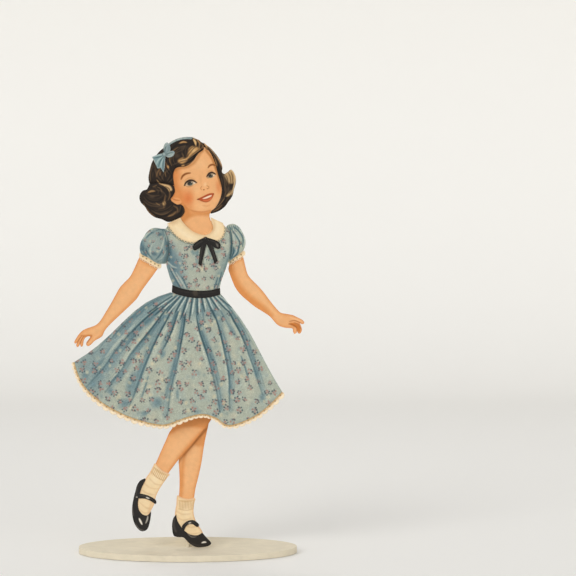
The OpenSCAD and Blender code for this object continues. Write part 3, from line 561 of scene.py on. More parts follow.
def cut_shape(node, ring, paint, step, base, back, curved, bulge_mm, thick):
    """One cut shape of a layer: points, faces, ink and how near each point is to the cut edge."""
    ring = divided(ring, step)
    n = len(ring)
    grid, sparse = hex_grid(ring, step)
    tree = KDTree(n)
    for i, p in enumerate(ring):
        tree.insert((p[0], p[1], 0), i)
    tree.balance()
    away = np.array([tree.find((x, z, 0))[2] for x, z in grid])
    keep = away > step * EDGE_CLEARANCE
    flat = np.concatenate([ring, grid[keep]])
    distance = np.concatenate([np.zeros(n), away[keep]])
    faces = triangulated(flat, n)
    if curved:
        depth = carried_depth(node, flat, faces)
    else:
        depth = np.full(len(flat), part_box(node)[0][1] + bulge_mm * MM)
    ink = Print(*to_px(flat[:, 0], flat[:, 1]), distance / PIXEL, base)
    paint(ink)
    behind = list(range(n)) + ([n + i for i in np.nonzero(sparse[keep])[0]] if curved else [])
    rear = depth[behind] + thick
    rise = np.sin(np.clip(distance / BULGE_RISE, 0, 1) * math.pi / 2)
    depth = depth - bulge_mm * MM * rise - ink.relief * MM * np.clip(distance / RELIEF_RISE, 0, 1)
    size = len(flat)
    points = np.concatenate([
        np.stack([flat[:, 0], depth, flat[:, 1]], 1),
        np.stack([flat[behind, 0], rear, flat[behind, 1]], 1),
    ])
    faces = faces + [[size + v for v in reversed(f)] for f in triangulated(flat[behind], n)]
    faces += [[i, size + i, size + (i + 1) % n, (i + 1) % n] for i in range(n)]
    colours = np.concatenate([ink.colour, np.tile(srgb(back), (len(behind), 1))])
    rim = np.concatenate([np.exp(-distance / WEAR_REACH), np.zeros(len(behind))])
    return points, faces, colours, rim


def strap_shape(low, high, back):
    """A plain strip of the same paper, as a closed box."""
    points = np.array([[(low, high)[k >> axis & 1][axis] for axis in range(3)] for k in range(8)])
    faces = [(0, 2, 3, 1), (4, 5, 7, 6), (0, 1, 5, 4), (2, 6, 7, 3), (0, 4, 6, 2), (1, 3, 7, 5)]
    return points, [list(f) for f in faces], np.tile(srgb(back), (8, 1)), np.zeros(8)


def ink_points(mesh, colours, rim):
    """The two values that printed paper reads at each point: its ink and its nearness to the edge."""
    printed = mesh.color_attributes.new("print", "FLOAT_COLOR", "POINT")
    alpha = np.ones((len(colours), 1))
    printed.data.foreach_set("color", np.concatenate([linear(colours), alpha], 1).ravel())
    mesh.attributes.new("rim", "FLOAT", "POINT").data.foreach_set("value", rim)


def cut_sheet(node, body, slot, material, paint, step=0.3, base="#FFFFFF", back="#E8E0CE",
              curved=False, bulge_mm=0.0, straps=()):
    """One printed layer in place of its solid: closed sheets of paper with their print in front.

    A curved layer takes its depth from the solid, the others are flat. bulge_mm presses the middle
    of the sheet forward from the cut edge."""
    low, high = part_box(node)
    thick = PAPER if curved or straps else high[1] - low[1] - bulge_mm * MM
    # An outline inside another is part of a hole or a step there, and the print runs over it
    rings = []
    for ring in front_outlines(node):
        if not any(inside(ring[:1, 0], ring[:1, 1], other)[0] for other in rings):
            rings.append(ring)
    shapes = [cut_shape(node, ring, paint, step * MM, base, back, curved, bulge_mm, thick)
              for ring in rings]
    shapes += [strap_shape(*strap, back) for strap in straps]
    starts = np.cumsum([0] + [len(shape[0]) for shape in shapes])
    faces = [[int(start) + v for v in f] for start, shape in zip(starts, shapes) for f in shape[1]]
    points, colours, rim = (np.concatenate([shape[k] for shape in shapes]) for k in (0, 2, 3))
    piece = put_mesh(node + "_print", points, faces, material)
    ink_points(piece.data, colours, rim)
    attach(piece, body)
    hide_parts(node)


# Lace edges


def cut_edge(node, start, end):
    """The points of a cut edge, anticlockwise between two places on the grid."""
    ring = front_outlines(node)[0]
    a, b = (int(np.hypot(*(ring - from_px(*place)).T).argmin()) for place in (start, end))
    return np.roll(ring, -a, 0)[: (b - a) % len(ring) + 1]


def even_steps(path, pitch):
    """Where along a path, counted in its points, the middles of equal steps fall."""
    run = np.concatenate([[0], np.cumsum(np.hypot(*np.diff(path, axis=0).T))])
    count = round(run[-1] / pitch)
    return np.interp((np.arange(count) + 0.5) * run[-1] / count, run, np.arange(len(path)))


def scallop_places(node, path, steps, lift):
    """Place, turn and span of the scallops at the given steps of a path, lifted outwards from it."""
    half = np.gradient(steps)[:, None] / 2
    before, middle, after = (
        np.stack([np.interp(steps + side * half[:, 0], np.arange(len(path)), path[:, k]) for k in (0, 1)], 1)
        for side in (-1, 0, 1)
    )
    along = after - before
    span = np.hypot(*along.T)
    outward = np.stack([along[:, 1], -along[:, 0]], 1) / span[:, None]
    flat = middle + outward * lift
    depth = front_depth(node, flat)
    return np.stack([flat[:, 0], depth, flat[:, 1], np.arctan2(outward[:, 0], outward[:, 1]), span], 1)


def lace_thread_tree(material):
    """Geometry Nodes: half a ring of thread on each point, as wide as its span, turned outwards,
    with a thin oval lobe of lace inside it where Lobes is on."""
    tree = bpy.data.node_groups.new("lace scallops", "GeometryNodeTree")
    tree.interface.new_socket("Geometry", in_out="INPUT", socket_type="NodeSocketGeometry")
    tree.interface.new_socket("Geometry", in_out="OUTPUT", socket_type="NodeSocketGeometry")
    for name, kind in (("Rise", "Float"), ("Thread", "Float"), ("Unevenness", "Float"), ("Seed", "Int"),
                       ("Lobes", "Bool")):
        tree.interface.new_socket(name, in_out="INPUT", socket_type="NodeSocket" + kind)
    given = add(tree, "NodeGroupInput").outputs
    arc = add(tree, "GeometryNodeCurveArc", {"Resolution": 7, "Radius": 0.5, "Sweep Angle": math.pi})
    section = add(tree, "GeometryNodeCurvePrimitiveCircle", {"Resolution": 5, "Radius": given["Thread"]})
    thread = add(tree, "GeometryNodeCurveToMesh", {
        "Curve": arc.outputs["Curve"], "Profile Curve": section.outputs["Curve"], "Fill Caps": True})
    lobe = add(tree, "GeometryNodeMeshCylinder", {
        "Vertices": 18, "Fill Segments": 3, "Radius": 0.5, "Depth": 0.05}, fill_type="TRIANGLE_FAN")
    edged = add(tree, "GeometryNodeJoinGeometry", {0: thread.outputs["Mesh"]})
    tree.links.new(lobe.outputs["Mesh"], edged.inputs[0])
    scallop = add(tree, "GeometryNodeSwitch", {
        "Switch": given["Lobes"], "False": thread.outputs["Mesh"], "True": edged.outputs[0]},
        input_type="GEOMETRY")
    turn = add(tree, "GeometryNodeInputNamedAttribute", {"Name": "turn"}, data_type="FLOAT")
    span = add(tree, "GeometryNodeInputNamedAttribute", {"Name": "span"}, data_type="FLOAT")
    least = add(tree, "ShaderNodeMath", {0: 1.0, 1: given["Unevenness"]}, operation="SUBTRACT")
    most = add(tree, "ShaderNodeMath", {0: 1.0, 1: given["Unevenness"]}, operation="ADD")
    # Least and most are the random node's sockets 2 and 3, its number is output 1
    varied = add(tree, "FunctionNodeRandomValue", {
        2: least.outputs[0], 3: most.outputs[0], "Seed": given["Seed"]}, data_type="FLOAT")
    # Half a ring is half as high as it is wide
    high = add(tree, "ShaderNodeMath", {0: given["Rise"], 1: 2.0}, operation="MULTIPLY")
    uneven = add(tree, "ShaderNodeMath", {0: high.outputs[0], 1: varied.outputs[1]}, operation="MULTIPLY")
    rise = add(tree, "ShaderNodeMath", {0: uneven.outputs[0], 1: span.outputs[0]}, operation="MULTIPLY")
    size = add(tree, "ShaderNodeCombineXYZ", {
        "X": span.outputs[0], "Y": rise.outputs[0], "Z": span.outputs[0]})
    facing = add(tree, "ShaderNodeCombineXYZ", {"X": math.pi / 2, "Y": turn.outputs[0]})
    stood = add(tree, "FunctionNodeEulerToRotation", {"Euler": facing.outputs[0]})
    placed = add(tree, "GeometryNodeInstanceOnPoints", {
        "Points": given["Geometry"], "Instance": scallop.outputs[0],
        "Rotation": stood.outputs[0], "Scale": size.outputs[0]})
    real = add(tree, "GeometryNodeRealizeInstances", {"Geometry": placed.outputs[0]})
    finished = add(tree, "GeometryNodeSetMaterial", {"Geometry": real.outputs[0], "Material": material})
    add(tree, "NodeGroupOutput", {"Geometry": finished.outputs[0]})
    return tree


# As shares of a scallop's width: where the shade under the hem ends and the pale rim begins,
# outwards from the scallop's middle, and how wide its opening is
SHADE_END, RIM_START, OPENING = -0.12, 0.14, 0.1


def lace_ink(points, places, colour, shade, opening):
    """The ink of lobes of lace: shaded under the hem, pale along the rim, an opening in the middle."""
    away = (points[:, None] - places[:, :3])[:, :, (0, 2)]
    nearest = np.hypot(away[:, :, 0], away[:, :, 1]).argmin(1)
    away = away[np.arange(len(points)), nearest] / places[nearest, 4:5]
    turn = places[nearest, 3]
    outwards = away[:, 0] * np.sin(turn) + away[:, 1] * np.cos(turn)
    pale = np.clip((outwards - SHADE_END) / (RIM_START - SHADE_END), 0, 1)[:, None]
    ink = srgb(shade) * (1 - pale) + srgb(colour) * pale
    ink[np.hypot(*away.T) < OPENING] = srgb(opening)
    return ink


def lace_threads(name, body, tree, places, sizes, colour, lobe_inks=None):
    """The lace's raised threads along its scallops, as one plain mesh, with lobes where their inks
    for shade and opening are given."""
    mesh = bpy.data.meshes.new(name)
    mesh.from_pydata([tuple(p[:3]) for p in places], [], [])
    mesh.attributes.new("turn", "FLOAT", "POINT").data.foreach_set("value", places[:, 3])
    mesh.attributes.new("span", "FLOAT", "POINT").data.foreach_set("value", places[:, 4])
    piece = bpy.data.objects.new(name, mesh)
    bpy.context.scene.collection.objects.link(piece)
    modifier = piece.modifiers.new("scallops", "NODES")
    modifier.node_group = tree
    given = {**sizes, "Lobes": lobe_inks is not None}
    for socket in tree.interface.items_tree:
        if socket.name in given:
            modifier[socket.identifier] = given[socket.name]
    evaluated = piece.evaluated_get(bpy.context.evaluated_depsgraph_get())
    plain = bpy.data.meshes.new_from_object(evaluated)
    piece.modifiers.clear()
    piece.data = plain
    points = np.array([v.co for v in plain.vertices])
    ink = np.tile(srgb(colour), (len(points), 1))
    if lobe_inks:
        ink = lace_ink(points, places, colour, *lobe_inks)
    ink_points(plain, ink, np.zeros(len(points)))
    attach(piece, body)


# Inks: the colour that each sheet starts with

SKIN = "#EFB27A"
# Painted highlight on the skin
SKIN_HIGHLIGHT = "#F3BE88"
SKIN_LINE = "#A85A28"
HAIR = "#251B14"
# Painted shade in the grooves between the hair's locks
HAIR_GROOVE_SHADE = "#120D09"
# Painted highlights on the dark hair: gold, brighter gold and dull gold
GOLD = "#CB995E"
BRIGHT_GOLD_HIGHLIGHT = "#E4BB80"
DULL_GOLD_HIGHLIGHT = "#7E5D3B"
DRESS = "#AEB4A4"
# Painted highlight on the dress
DRESS_HIGHLIGHT = "#C4C8B9"
CREAM = "#F4D9AD"
CREAM_SHADE = "#D9B588"
RIBBON = "#87989A"
BLACK = "#1C1916"
SHOE = "#1C1815"
GLINT = "#F2EADB"
ROSE = "#AB776D"
SLATE = "#47545B"


def paint_strokes(ink, colour, width, opacity, soft, lines, raise_mm=0.0):
    for line in lines:
        ink.stroke(colour, line, width, opacity, soft, raise_mm=raise_mm)


def paint_face(ink):
    # Painted shade, brown, under the hair at the temple
    ink.stroke("#9A5A30", [(175.5, 167), (173, 175), (173.4, 184), (173, 192), (171.6, 198)],
               4.6, 0.75, 4, 0.7)
    # Painted shade on the turned side of the face, deeper from the temple to the ear and the jaw
    ink.patch("#DE8B4D", [(170, 167), (178, 168), (180.5, 176), (180, 184), (183.4, 191), (186, 199),
                          (187, 207), (190, 213), (183, 214), (182, 207), (177, 206), (169, 200)], 0.85, 7)
    # Painted highlights on the forehead, the chin and the cheek
    ink.blob(SKIN_HIGHLIGHT, (200, 164), (14, 9), 0, 0.6, 0.9)
    ink.blob(SKIN_HIGHLIGHT, (203, 206), (8, 4.5), 0, 0.7, 0.9)
    ink.blob(SKIN_HIGHLIGHT, (196.6, 190), (5.6, 6), 0, 0.45, 0.9)
    # Rouge on both cheeks
    ink.blob("#DE7F45", (188, 197), (10, 14), 0, 0.62, 0.97)
    ink.blob("#DC733C", (188.8, 199), (7, 8.5), 0, 0.5, 0.97)
    ink.blob("#DF8A4E", (190, 208), (7, 7), 0, 0.45, 0.95)
    ink.blob("#DD8148", (218.8, 187), (4.6, 12), -8, 0.6, 0.97)
    # Painted shade under the fringe, and down the hairline on the other side
    ink.stroke("#B97841", [(173, 171), (180, 168.4), (186, 167.4), (190, 165.8), (194, 163), (197, 159),
                           (200, 154), (203, 151)], 2.6, 0.6, 2.4, 0.7)
    ink.stroke("#A9672F", [(206, 150.5), (211, 156.5), (214, 162.5), (216.8, 171), (219.4, 179),
                           (221.4, 186)], 2.6, 0.7, 2, 0.6)
    # Ear lobe, with painted shade round it
    ink.patch("#EBA66C", [(171.6, 198.6), (175, 197.6), (180, 199), (181.4, 203), (177.6, 204.8),
                          (173.4, 203)], 0.8, 1.4)
    ink.stroke("#B65E2A", [(172, 198.4), (175.5, 200), (179.6, 200.4)], 1, 0.75, 1.2)
    ink.stroke("#A2501F", [(173, 203.4), (177.4, 205.2), (181.8, 203.6)], 0.9, 0.6, 1)
    # Brows
    ink.stroke("#7C4219", [(181.2, 179.2), (182.8, 176), (186, 173.8), (190.4, 173)], 1.9, 0.9, 1, 0.3)
    ink.stroke("#7C4219", [(208.2, 167.8), (209.8, 165.6), (212.6, 164.7), (215, 165.6)], 1.7, 0.9, 1, 0.3)
    # Left eye in the picture: lid crease, white, iris, lights in it, lashes
    ink.stroke("#C4844E", [(184.4, 181.4), (187.4, 178.7), (191, 178), (195, 179.6)], 0.9, 0.6, 0.9)
    ink.patch("#CDB08E", [(185.2, 185), (187.2, 182.6), (190.6, 181), (193.4, 181.4), (196, 182.9),
                          (194, 184.6), (190.4, 185.9), (187.2, 185.9)], 1, 0.6)
    ink.blob("#F7E4CC", (194.2, 183), (1.4, 1), 0, 1, 0.8)
    ink.blob("#34302A", (190, 183.4), (3.6, 3), -10, 1, 0.55)
    ink.blob("#55665F", (190.8, 184.3), (2, 1.3), 0, 0.8, 0.8)
    ink.blob("#C9BCA2", (191.7, 182.3), (0.9, 0.8), 0, 0.9, 0.7)
    ink.stroke("#2E1F17", [(184.4, 185.6), (186.2, 182.4), (189.6, 180.4), (193.2, 180.6), (196.6, 182.7)],
               1.8, 1, 0.8, 0.4)
    ink.stroke("#9A6A44", [(186, 186.4), (189.5, 186.8), (193, 185.6)], 0.8, 0.6, 0.8)
    ink.blob("#5F4A31", (185, 185.2), (1.2, 1.1), 0, 0.85, 0.7)
    # Right eye in the picture, with a painted shade under it
    ink.patch("#CDB08E", [(207.6, 176.2), (209.2, 174), (212, 173.1), (215, 174.8), (214.2, 176.7),
                          (211.4, 178), (208.6, 177.7)], 1, 0.6)
    ink.blob("#F7E4CC", (213.8, 175.5), (1, 0.9), 0, 1, 0.8)
    ink.blob("#34302A", (210.6, 175.9), (3, 2.5), -10, 1, 0.55)
    ink.blob("#55665F", (211, 176.7), (1.6, 1), 0, 0.75, 0.8)
    ink.blob("#C9BCA2", (211.7, 174.9), (0.7, 0.6), 0, 0.8, 0.7)
    ink.stroke("#2E1F17", [(206.8, 176.8), (208.8, 173.8), (212, 172.5), (215.6, 174.2)], 1.8, 1, 0.8, 0.4)
    ink.stroke("#C4844E", [(207.6, 172), (210.4, 170.6), (213.6, 171)], 0.8, 0.5, 0.9)
    ink.blob("#7F6A4C", (208.2, 177.8), (1.8, 1), 0, 0.65, 0.8)
    # Nose: painted shade down the bridge, a painted highlight beside it, the nostrils
    ink.stroke("#DB9A62", [(199.5, 175), (200.6, 180), (201.4, 185)], 2.2, 0.35, 2)
    ink.blob("#F8CB9A", (205.2, 184.4), (2.6, 3.4), 10, 0.7, 0.9)
    ink.stroke("#C17C46", [(201.8, 190), (200.7, 188.2), (202, 186.2)], 0.9, 0.8, 0.8)
    ink.stroke("#C17C46", [(206.8, 185.6), (208.9, 187), (208.4, 189)], 0.9, 0.75, 0.8)
    ink.blob("#9E5826", (203.8, 189.8), (1.4, 0.8), 0, 0.9, 0.6)
    ink.blob("#A9642F", (207.4, 188.8), (1.1, 0.7), 0, 0.8, 0.6)
    # Mouth: lips, teeth, the dark corners, a light on the lower lip, and painted shade in the dimple under
    # it
    ink.patch("#B9522C", [(197.6, 199.3), (200.6, 197.6), (204.2, 195.7), (208, 193.9), (210.6, 193.2),
                          (213.8, 193.4), (213.4, 195.8), (212, 198.6), (209.8, 200.8), (206.6, 201.9),
                          (203, 201.5), (199.8, 200.3)], 0.95, 0.8)
    ink.patch("#DC7848", [(203, 200), (207, 200), (210, 198.6), (211.6, 197.2), (210.6, 199.8), (207, 201.2),
                          (204, 201)], 0.9, 0.8)
    ink.patch("#F6DCC0", [(202.4, 198.6), (205, 197.4), (208.4, 195.9), (211.6, 195), (211.2, 196.4),
                          (208.4, 197.9), (205, 198.9)], 1, 0.6)
    ink.stroke("#9C3C18", [(197, 199.4), (200.6, 198.2), (204.6, 196.6), (208.6, 194.9), (213.6, 193.9)],
               0.9, 0.8, 0.7)
    ink.stroke("#9C3C18", [(199.6, 200.2), (203.6, 201.7), (207, 202), (210.2, 200.6)], 0.7, 0.6, 0.7)
    ink.blob("#6E2A10", (198.4, 199.4), (1.7, 0.9), 0, 0.9, 0.6)
    ink.blob("#8E3615", (213.4, 194.1), (1, 1), 0, 0.8, 0.6)
    ink.stroke("#D88A52", [(202.8, 205.4), (206.8, 206), (210, 205)], 1.4, 0.5, 1.4)
    # Neck: the chin's shadow, the jaw's line, a painted highlight under it, the painted shade of the hollows
    # by the collar
    ink.patch("#D5894B", [(183, 205), (187, 208), (194, 211.4), (203, 212.4), (210.5, 210.8), (210, 215.6),
                          (203, 215.4), (196, 215.6), (190, 218), (186, 221), (180.5, 224), (181.5, 215)],
              0.85, 3.6)
    ink.stroke("#C0703A", [(184.6, 205.6), (188.6, 209.4), (196, 211.6), (204, 211.9), (210.4, 210.4)],
               1.2, 0.55, 1.4)
    ink.stroke("#E5A266", [(188, 207), (192, 213), (197, 215)], 3, 0.5, 2.5)
    ink.stroke("#B8763C", [(209.6, 218.4), (211.8, 221.6), (212.8, 225), (211.4, 229.4)], 1.6, 0.75, 1.4)
    ink.stroke("#C58045", [(180.6, 219.5), (184, 224.6), (188.6, 229.4)], 2, 0.7, 1.8)


# Where the hair's locks part
LOCKS = (
    [(176, 167), (172, 160), (174, 151), (183, 144.5)], [(171, 175), (166, 166), (167, 155), (176, 145.5)],
    [(186, 158), (184, 151), (188, 143)], [(163, 181), (158, 172), (159, 162), (164, 153)],
    [(193, 158.5), (197, 153), (201, 148)], [(152, 182), (152, 172), (156, 162)],
    [(178, 164), (184, 163.4), (190, 161), (196, 155)], [(168, 182), (172, 177), (173, 171)],
    [(145, 196), (150, 200.6), (158, 201.6), (165, 198), (168, 192)],
    [(149, 207), (156, 211.4), (165, 210.6), (172, 206), (174, 201)],
    [(154, 214), (162, 216.6), (171, 214), (178, 209)], [(156, 187), (160, 191), (160, 196)],
    [(150, 187.6), (157, 186), (163, 188.6), (165.5, 194)], [(182, 206), (181, 212), (176, 217)],
    [(219, 168), (222.4, 177), (224, 186), (223, 196)], [(224, 178), (227, 188), (226, 197), (221, 205)],
    [(212, 152), (216.6, 160), (219, 169), (221.4, 178)], [(230, 186), (228.4, 194), (224, 202)],
)


def paint_hair(ink):
    # Brown hairs within the locks, then the dark grooves between them, pressed into the paper, with painted
    # shade in them
    chance = np.random.default_rng(61)
    for lock in LOCKS:
        bristles(ink, lock, 5, (-0.9, 0.9),
                 ("#4A3828", "#1E1713", "#6B5338", "#3B2D22", "#15110E", "#7E6040"), 10, (0.6, 1.3), 0.6,
                 chance, 0.01)
    paint_strokes(ink, HAIR_GROOVE_SHADE, 1.2, 0.8, 1.1, LOCKS, raise_mm=-0.05)
    # Soft brown light in the dark
    for place, radii, turn in (
        ((158, 172), (3.4, 5), 20), ((184, 148), (7, 3), -20), ((160, 206), (9, 4), 10),
        ((228, 190), (2.6, 6), 15), ((152, 197), (5, 3), 0), ((177, 156), (5, 4), 0),
    ):
        ink.blob("#574636", place, radii, turn, 0.55, 0.9)
    paint_strokes(ink, "#65503A", 1.1, 0.6, 1.3, (
        [(169, 156), (176, 148.6), (186, 146)], [(170, 162), (174, 154.6), (182, 150.4)],
        [(173, 165), (180, 161.6), (184, 155)], [(154, 168), (158, 160), (163, 156.6)],
        [(150.8, 180), (151, 172), (154, 164)], [(162, 180), (164, 174), (169, 170)],
        [(144, 201), (150, 205.4), (158, 206.6)], [(152, 211), (160, 214), (168, 211.6)],
        [(146, 193), (152, 196), (160, 195.4)], [(156, 190), (163, 192), (167, 197)],
        [(222, 171), (224.4, 180), (224.4, 190)], [(217, 158), (220.4, 165), (221.4, 171)],
        [(226, 187), (225.4, 195), (222, 202)], [(214, 206), (219, 203), (222, 197.6)],
    ))
    # Dull painted highlights along the locks
    paint_strokes(ink, DULL_GOLD_HIGHLIGHT, 1.5, 0.8, 1.3, (
        [(169.8, 191.6), (170, 196), (168.4, 200)], [(222, 205), (218, 209), (213, 211.4)],
        [(199, 141), (203, 146), (203.4, 150.4)], [(156.5, 177), (158, 172), (161.4, 168)],
        [(159.6, 175.6), (161, 171.6)], [(165, 161), (166.6, 165), (168.8, 169.5)],
        [(186, 158.6), (189.4, 151), (193, 146)], [(174, 206), (177.4, 208.4), (177.6, 212)],
        [(146, 207.4), (149.6, 212.6), (155, 216.4)], [(165.6, 195.6), (164.8, 200), (164, 208)],
        [(168, 216.6), (173, 214.8), (176.6, 211.6)], [(179, 143.6), (183, 142.2), (187.4, 142.8)],
        [(148, 192.8), (151.6, 191.4), (155.4, 191.4)], [(226, 175), (228.6, 180), (229, 185)],
        [(200, 149.6), (203, 146.8), (204.6, 143.6)],
    ))
    # Gold lights on the top of the head
    ink.patch(GOLD, [(189, 149), (192, 146.6), (197, 147), (199.6, 148.8), (196, 152.4), (191.6, 155.8),
                     (188.8, 158), (188.4, 153)], 0.95, 2)
    ink.blob(BRIGHT_GOLD_HIGHLIGHT, (193.6, 150.6), (3.2, 3.8), 35, 0.85, 0.9)
    ink.patch(GOLD, [(178, 160.6), (182, 158), (186, 158.4), (188.6, 156.6), (187, 161), (183, 163.8),
                     (179.4, 163)], 0.95, 2)
    ink.blob(BRIGHT_GOLD_HIGHLIGHT, (183.4, 160.2), (3, 1.9), 0, 0.8, 0.9)
    paint_strokes(ink, GOLD, 1.5, 0.9, 1, (
        [(186, 159.4), (190, 156.6), (195, 153), (200.4, 149.4)],
        [(180, 143.2), (183.4, 142.1), (186.6, 142.5)], [(193.4, 139.4), (195, 142), (196.2, 146.4)],
        [(181.6, 166.2), (184.6, 165.4)], [(197.6, 140.4), (199.6, 144), (199, 148.6)],
        [(204.6, 143.6), (206.6, 147), (207, 151.4)],
    ))
    ink.stroke(BRIGHT_GOLD_HIGHLIGHT, [(193.6, 139.4), (195.4, 142), (196, 144.6)], 2.2, 0.9, 1.2)
    ink.blob(GOLD, (168.2, 167), (1.6, 2.6), -20, 0.9, 0.8)
    # The curl in front of the ear, and lights on the curls below it
    ink.stroke("#B58F5E", [(157, 180), (160, 183.6), (164.4, 185.4), (168, 188.6), (169.6, 192)],
               1.5, 0.9, 0.9)
    ink.patch("#DDB47E", [(161.6, 184.4), (166, 184.4), (170.4, 186), (172.4, 190), (169.8, 191.2),
                          (167.4, 188)], 0.95, 1.3)
    ink.stroke(HAIR, [(165.4, 186.4), (169, 188.6), (170.6, 192)], 0.8, 0.7, 0.8)
    ink.stroke("#A98253", [(148.6, 192.4), (151.6, 191.2), (154.6, 191.2)], 1.8, 0.85, 1.2)
    ink.blob("#C9A06A", (164.3, 203.6), (2.8, 3.2), 0, 0.95, 0.85)
    ink.stroke("#8A6842", [(168.8, 216.2), (172.6, 214.4), (175.6, 211.8)], 2, 0.8, 1.4)
    # The flick on the other side: a painted highlight over its crown with dark locks through it, a painted
    # highlight along its rim, and more along the head's edge
    ink.patch("#D9B27C", [(224.4, 174.6), (228, 171.4), (231, 169.4), (234.4, 172.6), (235.4, 178),
                          (233, 183.4), (229, 183), (226, 179)], 0.85, 2)
    paint_strokes(ink, "#5B472E", 1, 0.85, 0.9, (
        [(225.6, 175), (227.6, 179), (228.2, 183.4)], [(228.4, 172.8), (230.4, 177.6), (230.4, 184)],
        [(231.2, 172.6), (232.8, 177.6), (232, 183.6)], [(224, 178), (226, 182), (226.6, 186)],
    ), raise_mm=-0.04)
    ink.stroke("#EBC795", [(230.6, 169.8), (234.4, 173.6), (235.2, 180), (233.6, 188), (231.8, 195)],
               1.5, 0.95, 1)
    ink.stroke("#D6AF77", [(231.6, 190.8), (229.6, 194), (226.6, 196.4)], 2.6, 0.9, 1.6)
    ink.stroke("#E2B686", [(204.8, 144), (210, 147.6), (215, 153.2), (219.4, 160), (222.6, 167)],
               2.3, 0.9, 1.5)
    ink.stroke("#D9A972", [(194, 138.4), (199.4, 140), (203.6, 143)], 1.4, 0.85, 1.2)
    ink.patch("#A87B4D", [(204, 147), (208.6, 149.6), (212.6, 154.6), (216.4, 161), (217.4, 166),
                          (213.6, 163), (209.6, 157), (205.6, 152)], 0.8, 1.6)
    # Dark hairs drawn through the gold
    paint_strokes(ink, "#4A3A29", 0.9, 0.75, 0.9, (
        [(186.6, 157.4), (190.4, 152.6), (194.6, 148), (198.6, 145.6)],
        [(189.4, 157.4), (194, 153.4), (199.4, 149.6)], [(188, 152.4), (191, 148.6), (195, 146.4)],
        [(179.4, 162.4), (183, 161.2), (187, 160.6)], [(180.6, 159.6), (184.4, 158.6), (187.6, 156.6)],
        [(205.8, 146.6), (208.4, 150.6), (210.4, 155)], [(208.6, 148.2), (213, 154), (216.4, 160.4)],
        [(213.6, 153.4), (218, 160.4), (220.8, 167)], [(198.4, 142), (199.4, 146), (198, 149)],
        [(163, 201.4), (165, 204), (164.4, 207)], [(170, 215), (173.6, 213.2), (176, 210.8)],
        [(229.4, 193.6), (231.4, 190.6)],
    ), raise_mm=-0.03)
    # Thin strands of painted highlight
    paint_strokes(ink, "#A67E4E", 0.8, 0.7, 0.9, (
        [(172, 166), (169.6, 159.6), (172, 152.6), (178, 147.6)], [(166, 177), (165, 171.6)],
        [(146.8, 210), (150, 214.6), (155.6, 218)], [(143.6, 203.4), (145.4, 207.6)],
        [(156, 203), (160, 205.4)], [(152.8, 187), (157, 185.4)],
        [(224.6, 198.6), (220, 204.4), (214.6, 208.8)], [(187.4, 164.6), (191.4, 162.6), (195, 159)],
        [(155.6, 218.8), (160.6, 220.6)],
    ))


def paint_headband(ink):
    # Painted shade round the edge and a painted highlight along the top, with short dark marks across the
    # band
    ink.border("#6F807D", 1.1, 0.8, 0.9)
    ink.stroke("#B9C0B5", [(168.4, 144.6), (174, 141.2), (180.6, 138.8), (187.6, 138)], 1.2, 0.85, 1)
    paint_strokes(ink, "#5F736F", 0.7, 0.7, 0.6, (
        [(170, 143), (170.8, 144.2)], [(176, 140), (176.6, 141.6)], [(183, 138.4), (183.4, 140)],
    ))


def paint_hair_bow(ink):
    # Upper loop, with painted highlights and painted shade in its crease
    ink.blob("#A9B4AC", (165.6, 147.6), (2.4, 5), 10, 0.9, 0.8)
    ink.stroke("#51676A", [(164.8, 153.4), (165.2, 149.6), (166.4, 146.4)], 1.3, 0.9, 0.9, raise_mm=-0.06)
    ink.stroke("#C2C8BD", [(163.6, 152), (163.4, 147), (165.8, 143.4), (168.6, 145)], 0.9, 0.8, 0.8)
    ink.stroke("#6E827F", [(169.4, 146), (169, 150), (166.8, 153)], 1, 0.7, 0.9)
    # Right loop, with a painted highlight and painted shade in its crease
    ink.blob("#A7B5AE", (170, 153.6), (4, 2.8), -18, 0.9, 0.8)
    ink.stroke("#556B6C", [(165.6, 155.4), (169.4, 153.4), (172.6, 152.8)], 1.1, 0.9, 0.8, raise_mm=-0.06)
    ink.stroke("#C2CABF", [(166.4, 157), (171, 156.4), (174, 153.4)], 0.8, 0.8, 0.7)
    # Tails, with painted shade in their folds and painted highlights along them
    ink.patch("#7F9B9B", [(152.6, 156.8), (158, 155.6), (164.4, 155.2), (163.6, 160), (161.6, 168.6),
                          (156.4, 166.6), (154.6, 161)], 0.8, 1.5)
    paint_strokes(ink, "#486468", 1.2, 0.9, 0.9, (
        [(163.8, 155.8), (158.6, 157.4), (154, 158.4)], [(164.2, 156), (160.4, 161.6), (158.6, 167)],
        [(164.6, 156.4), (163.4, 162), (163.2, 170)],
    ), raise_mm=-0.06)
    paint_strokes(ink, "#AFC2BD", 1.3, 0.85, 1, (
        [(162.8, 156.8), (158.4, 160.6), (156.4, 165)], [(163.8, 158), (161.6, 163.6), (161, 168)],
        [(153.6, 156.6), (158, 155.8), (163, 154.8)],
    ))
    ink.stroke("#C9C6B8", [(152.6, 157.4), (154.8, 162), (156.6, 167.6), (159.6, 168.6)], 0.8, 0.7, 0.7)


def paint_hair_bow_knot(ink):
    # Painted shade round the knot's edge and a painted highlight on it
    ink.border("#5F7674", 1, 0.9, 0.9)
    ink.blob("#B3C0B8", (164.2, 154.2), (1.3, 1.5), 0, 0.8, 0.8)


